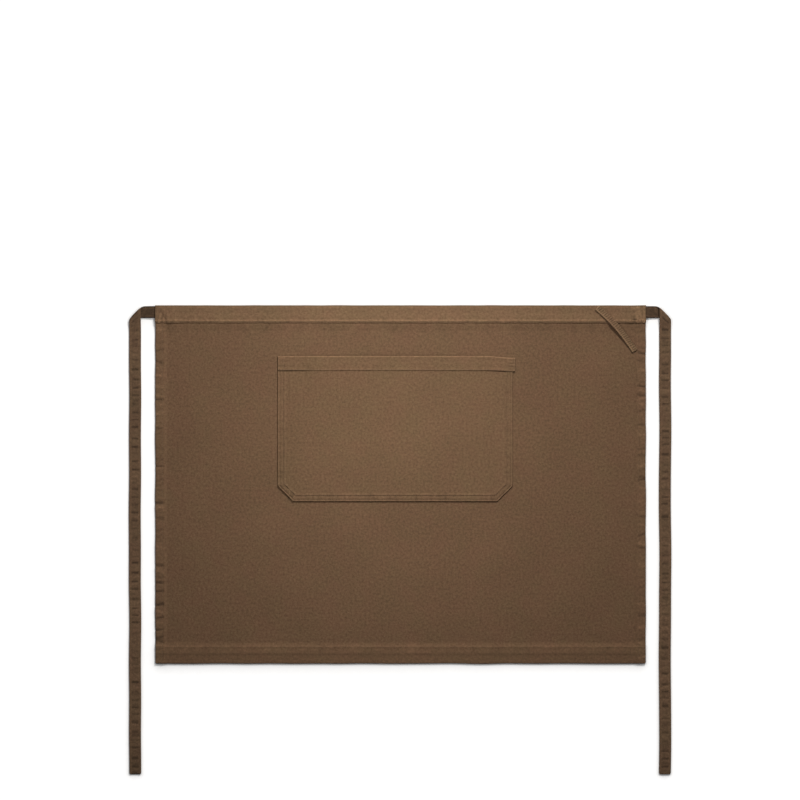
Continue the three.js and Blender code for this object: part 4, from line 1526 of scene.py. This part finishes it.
def build_towel_loop():
    """The slanting tape loop, sewn down at both ends."""
    s = sizes()
    reach = math.hypot(s.loop_span, s.loop_fall)
    fold = fold_stations(s.loop_thickness)
    across = (across_stations(fold, s.loop_width, LOOP_PITCHES[0]) - s.loop_width / 2)[::-1]
    along = across_stations(fold, reach, LOOP_PITCHES[1])
    c, a = np.meshgrid(across, along)
    middle = loop_middle(s, a / reach, c)
    normal = normals_of(middle)
    from_end = np.minimum(a, reach - a)
    edge = np.minimum(s.loop_width / 2 - np.abs(c), from_end)
    inner_stitch = s.loop_seat - SEAT_STITCH
    ribs = np.sin(math.tau * (a - LOOP_RIB_SLANT * c) / LOOP_RIB + waves(a, c, RIB_DRIFT))
    dark_side = np.minimum(c + s.loop_width / 2, reach - a)
    lip = lines(dark_side, LOOP_LIP)
    stitched = ridge(from_end, LOOP_END_STITCH, END_STITCH_DIP)
    stitched += ridge(from_end, inner_stitch, SEAT_STITCH_DIP)
    dip = RIB_DEPTH - RIB_HEIGHT * np.clip(ribs, -RIB_MOST, RIB_MOST) - LIP_HEIGHT * (lip - stitched)
    half = (s.loop_thickness / 2 - dip) * fold_profile(edge, s.loop_thickness)
    front, back = sheet_sides(middle, normal, half)
    # Painted highlights and shade on the ribs, a painted highlight on the lip and upper end, and a painted
    # shadow along the edge that faces away from the corner
    wear = LOOP_BASE_TONE + RIB_SHADING * ribs * (1 - lip) + LIP_HIGHLIGHT * lip + lines(a, LOOP_TOP_HIGHLIGHT)
    marks = {"wear": np.clip(wear, 0, LOOP_TONE_MOST), "fold": fade_inwards(dark_side, *LOOP_EDGE_SHADE)}
    mesh = cloth_mesh("tape_loop", front, back, np.stack([c, a], -1), marks)
    material = canvas_material(s, "loop_tape", s.loop_colour, (0.07, 0.33, 0), LOOP_GRAIN, TAPE_RIB)
    loop = add_piece("tape_loop", mesh, material, "towel_loop")

    places = (LOOP_END_STITCH, reach - LOOP_END_STITCH, inner_stitch, reach - inner_stitch)
    seams = [row_along(front, normal, nearest(along, place), LOOP_ROW_INSET) for place in places]
    side_column = nearest(across, LOOP_EDGE_STITCH - s.loop_width / 2)
    seams.append(row_down(front, normal, side_column, LOOP_ROW_INSET))
    stitches = sew(s, "loop_stitches", seams)
    tacks = sew(s, "loop_tacks", seams[:2], s.tack_pitch, TACK_LENGTH, math.pi / 2)


# Stage

FLOOR_HALF = 14.0
FLOOR_DROP = 0.0006
FLOOR_ROUGHNESS = 0.9
FLOOR_GLOW_TINT = (1.0, 0.995, 1.0, 1)
FLOOR_SHADE_REACH = 0.022
FLOOR_SHADE_SAMPLES = 12
FLOOR_SHADE_WAY = (0.12, 0.9, -0.55)
# Depth of the shade beside the cloth at the waistband and at the ties' ends, and where those lie
FLOOR_SHADE_DEPTH = (1.2, 3.2)
FLOOR_SHADE_SPAN = (0.3, -0.25)
# The light that falls on the bare floor: its level, its slopes and its hump below the softbox
FLOOR_LIGHT = (0.527, 0.125, 0.343, 0.197, 0.504)
FLOOR_HUMP = (-0.055, 0.306, 0.401, 0.502)
FLOOR_LIT = 1.9
SOFTBOX = SimpleNamespace(
    size=(0.22, 0.7), place=(-0.045, 0.29, 0.52), target=(-0.045, 0.29, 0.0), tint=(1.0, 0.985, 0.96))
KEY = SimpleNamespace(
    size=(0.8, 0.45), place=(0.95, 2.35, 1.75), target=(0.0, 0.1, 0.0), tint=(1.0, 0.98, 0.95))
FILL_TINT = (0.96, 0.97, 1.0, 1)
SENSOR_WIDTH = 36
VIEW_DEPTH = 20
CAMERA_SIDE = -0.00018


def aimed_light(name, lamp, power):
    """A soft rectangular light that the camera doesn't see, aimed at a point."""
    data = bpy.data.lights.new(name, "AREA")
    data.shape = "RECTANGLE"
    data.size, data.size_y = lamp.size
    data.energy = power
    data.color = lamp.tint
    light = bpy.data.objects.new(name, data)
    light.location = lamp.place
    light.rotation_euler = (Vector(lamp.target) - Vector(lamp.place)).to_track_quat("-Z", "Y").to_euler()
    light.visible_camera = False
    bpy.context.scene.collection.objects.link(light)


def floor_light(n, x, y):
    """How brightly the lamps light the bare floor at a place, dying out far from the apron."""
    level, slope_x, slope_y, twist, peak = FLOOR_LIGHT
    middle_x, middle_y, reach, squash = FLOOR_HUMP
    across = n.math("POWER", n.math("ABSOLUTE", n.math("SUBTRACT", x, middle_x)), 2)
    down = n.math("POWER", n.math("ABSOLUTE", n.math("SUBTRACT", y, middle_y)), 2)
    far = n.math("MULTIPLY", n.math("MULTIPLY_ADD", down, squash, across), -1 / reach ** 2)
    light = n.math("MULTIPLY_ADD", n.math("EXPONENT", far), peak, level)
    light = n.math("MULTIPLY_ADD", x, slope_x, light)
    light = n.math("MULTIPLY_ADD", y, slope_y, light)
    light = n.math("MULTIPLY_ADD", n.math("MULTIPLY", x, y), twist, light)
    faded = n.math("POWER", n.math("MULTIPLY", n.math("ADD", across, down), 1 / FLOOR_LIT ** 2), 2)
    return n.math("MULTIPLY", light, n.math("EXPONENT", n.math("MULTIPLY", faded, -1.0)))


def floor_material(s):
    """A white studio floor whose glow fills up the uneven light, less so close beside the cloth."""
    material, n = new_material("studio_floor")
    place = n.out("ShaderNodeTexCoord", None, "Object")
    tone = n.swing(n.noise(place, 3.0), 0.01)
    x, y = n.add("ShaderNodeSeparateXYZ", {0: place}).outputs[:2]
    missing = n.math("MULTIPLY_ADD", floor_light(n, x, y), -s.floor_colour[0], s.floor_glow)
    missing = n.math("MINIMUM", n.math("MAXIMUM", missing, 0.0), s.floor_glow)
    upright = n.out("ShaderNodeNewGeometry", None, "Normal")
    way = n.out("ShaderNodeVectorMath", {0: upright, 1: FLOOR_SHADE_WAY}, operation="ADD")
    nearby = n.out(
        "ShaderNodeAmbientOcclusion", {"Distance": FLOOR_SHADE_REACH, "Normal": way}, "AO",
        samples=FLOOR_SHADE_SAMPLES,
    )
    depth = n.out("ShaderNodeMapRange", {
        "Value": y, "From Min": FLOOR_SHADE_SPAN[0], "From Max": FLOOR_SHADE_SPAN[1],
        "To Min": FLOOR_SHADE_DEPTH[0], "To Max": FLOOR_SHADE_DEPTH[1],
    })
    n.surface({
        "Base Color": n.scaled(s.floor_colour, tone),
        "Roughness": FLOOR_ROUGHNESS, "Specular IOR Level": 0.0,
        "Emission Color": FLOOR_GLOW_TINT,
        "Emission Strength": n.math("MULTIPLY", missing, n.math("POWER", nearby, depth)),
    })
    return material


def build_stage():
    """The white floor, the lights and the camera straight above the apron."""
    s = sizes()
    scene = bpy.context.scene
    mesh = bpy.data.meshes.new("floor")
    corners = [(-1, -1), (1, -1), (1, 1), (-1, 1)]
    mesh.from_pydata([(FLOOR_HALF * x, FLOOR_HALF * y, -FLOOR_DROP) for x, y in corners], [], [(0, 1, 2, 3)])
    mesh.materials.append(floor_material(s))
    floor = bpy.data.objects.new("floor", mesh)
    scene.collection.objects.link(floor)

    aimed_light("softbox", SOFTBOX, s.softbox_power)
    aimed_light("key", KEY, s.key_power)
    world = bpy.data.worlds.new("studio")
    world.use_nodes = True
    background = world.node_tree.nodes["Background"]
    background.inputs["Color"].default_value = FILL_TINT
    background.inputs["Strength"].default_value = s.fill_strength
    scene.world = world
    scene.view_settings.view_transform = "Standard"

    data = bpy.data.cameras.new("camera")
    data.lens = s.camera_lens
    data.sensor_width = SENSOR_WIDTH
    data.clip_end = VIEW_DEPTH
    camera = bpy.data.objects.new("camera", data)
    camera.location = (CAMERA_SIDE, s.camera_forward, s.camera_height)
    scene.collection.objects.link(camera)
    scene.camera = camera


# Operators and the sidebar's panel

class APRON_OT_skirt_panel(bpy.types.Operator):
    """Build the apron's canvas panel with its hems"""
    bl_idname = "apron.skirt_panel"
    bl_label = "Skirt panel"

    def execute(self, context):
        build_skirt_panel()
        return {"FINISHED"}


class APRON_OT_waistband(bpy.types.Operator):
    """Build the folded waistband"""
    bl_idname = "apron.waistband"
    bl_label = "Waistband"

    def execute(self, context):
        build_waistband()
        return {"FINISHED"}


class APRON_OT_patch_pocket(bpy.types.Operator):
    """Build the patch pocket"""
    bl_idname = "apron.patch_pocket"
    bl_label = "Patch pocket"

    def execute(self, context):
        build_patch_pocket()
        return {"FINISHED"}


class APRON_OT_ties(bpy.types.Operator):
    """Build the two ties"""
    bl_idname = "apron.ties"
    bl_label = "Ties"

    def execute(self, context):
        build_ties()
        return {"FINISHED"}


class APRON_OT_towel_loop(bpy.types.Operator):
    """Build the towel loop"""
    bl_idname = "apron.towel_loop"
    bl_label = "Towel loop"

    def execute(self, context):
        build_towel_loop()
        return {"FINISHED"}


class APRON_OT_stage(bpy.types.Operator):
    """Build the floor, the lights and the camera"""
    bl_idname = "apron.stage"
    bl_label = "Stage"

    def execute(self, context):
        build_stage()
        return {"FINISHED"}


OPERATORS = (
    APRON_OT_skirt_panel, APRON_OT_waistband, APRON_OT_patch_pocket, APRON_OT_ties, APRON_OT_towel_loop,
    APRON_OT_stage,
)


class VIEW3D_PT_apron(bpy.types.Panel):
    """Sizes, colours and build steps of the apron"""
    bl_idname = "VIEW3D_PT_apron"
    bl_label = "Waist apron"
    bl_space_type = "VIEW_3D"
    bl_region_type = "UI"
    bl_category = "Apron"

    def draw(self, context):
        for group_name, group in SETTINGS.items():
            box = self.layout.box()
            box.label(text=group_name.replace("apron_", "").capitalize())
            for name in group.__annotations__:
                box.prop(getattr(context.scene, group_name), name)
        for operator in OPERATORS:
            self.layout.operator(operator.bl_idname)


def register():
    """Registers the settings, the operators and the panel."""
    for group_name, group in SETTINGS.items():
        bpy.utils.register_class(group)
        setattr(bpy.types.Scene, group_name, PointerProperty(type=group))
    for each in (*OPERATORS, VIEW3D_PT_apron):
        bpy.utils.register_class(each)


def unregister():
    """Takes back what register added."""
    for each in reversed((*OPERATORS, VIEW3D_PT_apron)):
        bpy.utils.unregister_class(each)
    for group_name, group in SETTINGS.items():
        delattr(bpy.types.Scene, group_name)
        bpy.utils.unregister_class(group)


def main():
    """Builds the stage and every piece."""
    register()
    bpy.ops.apron.stage()
    bpy.ops.apron.skirt_panel()
    bpy.ops.apron.waistband()
    bpy.ops.apron.patch_pocket()
    bpy.ops.apron.ties()
    bpy.ops.apron.towel_loop()


if __name__ == "__main__":
    main()
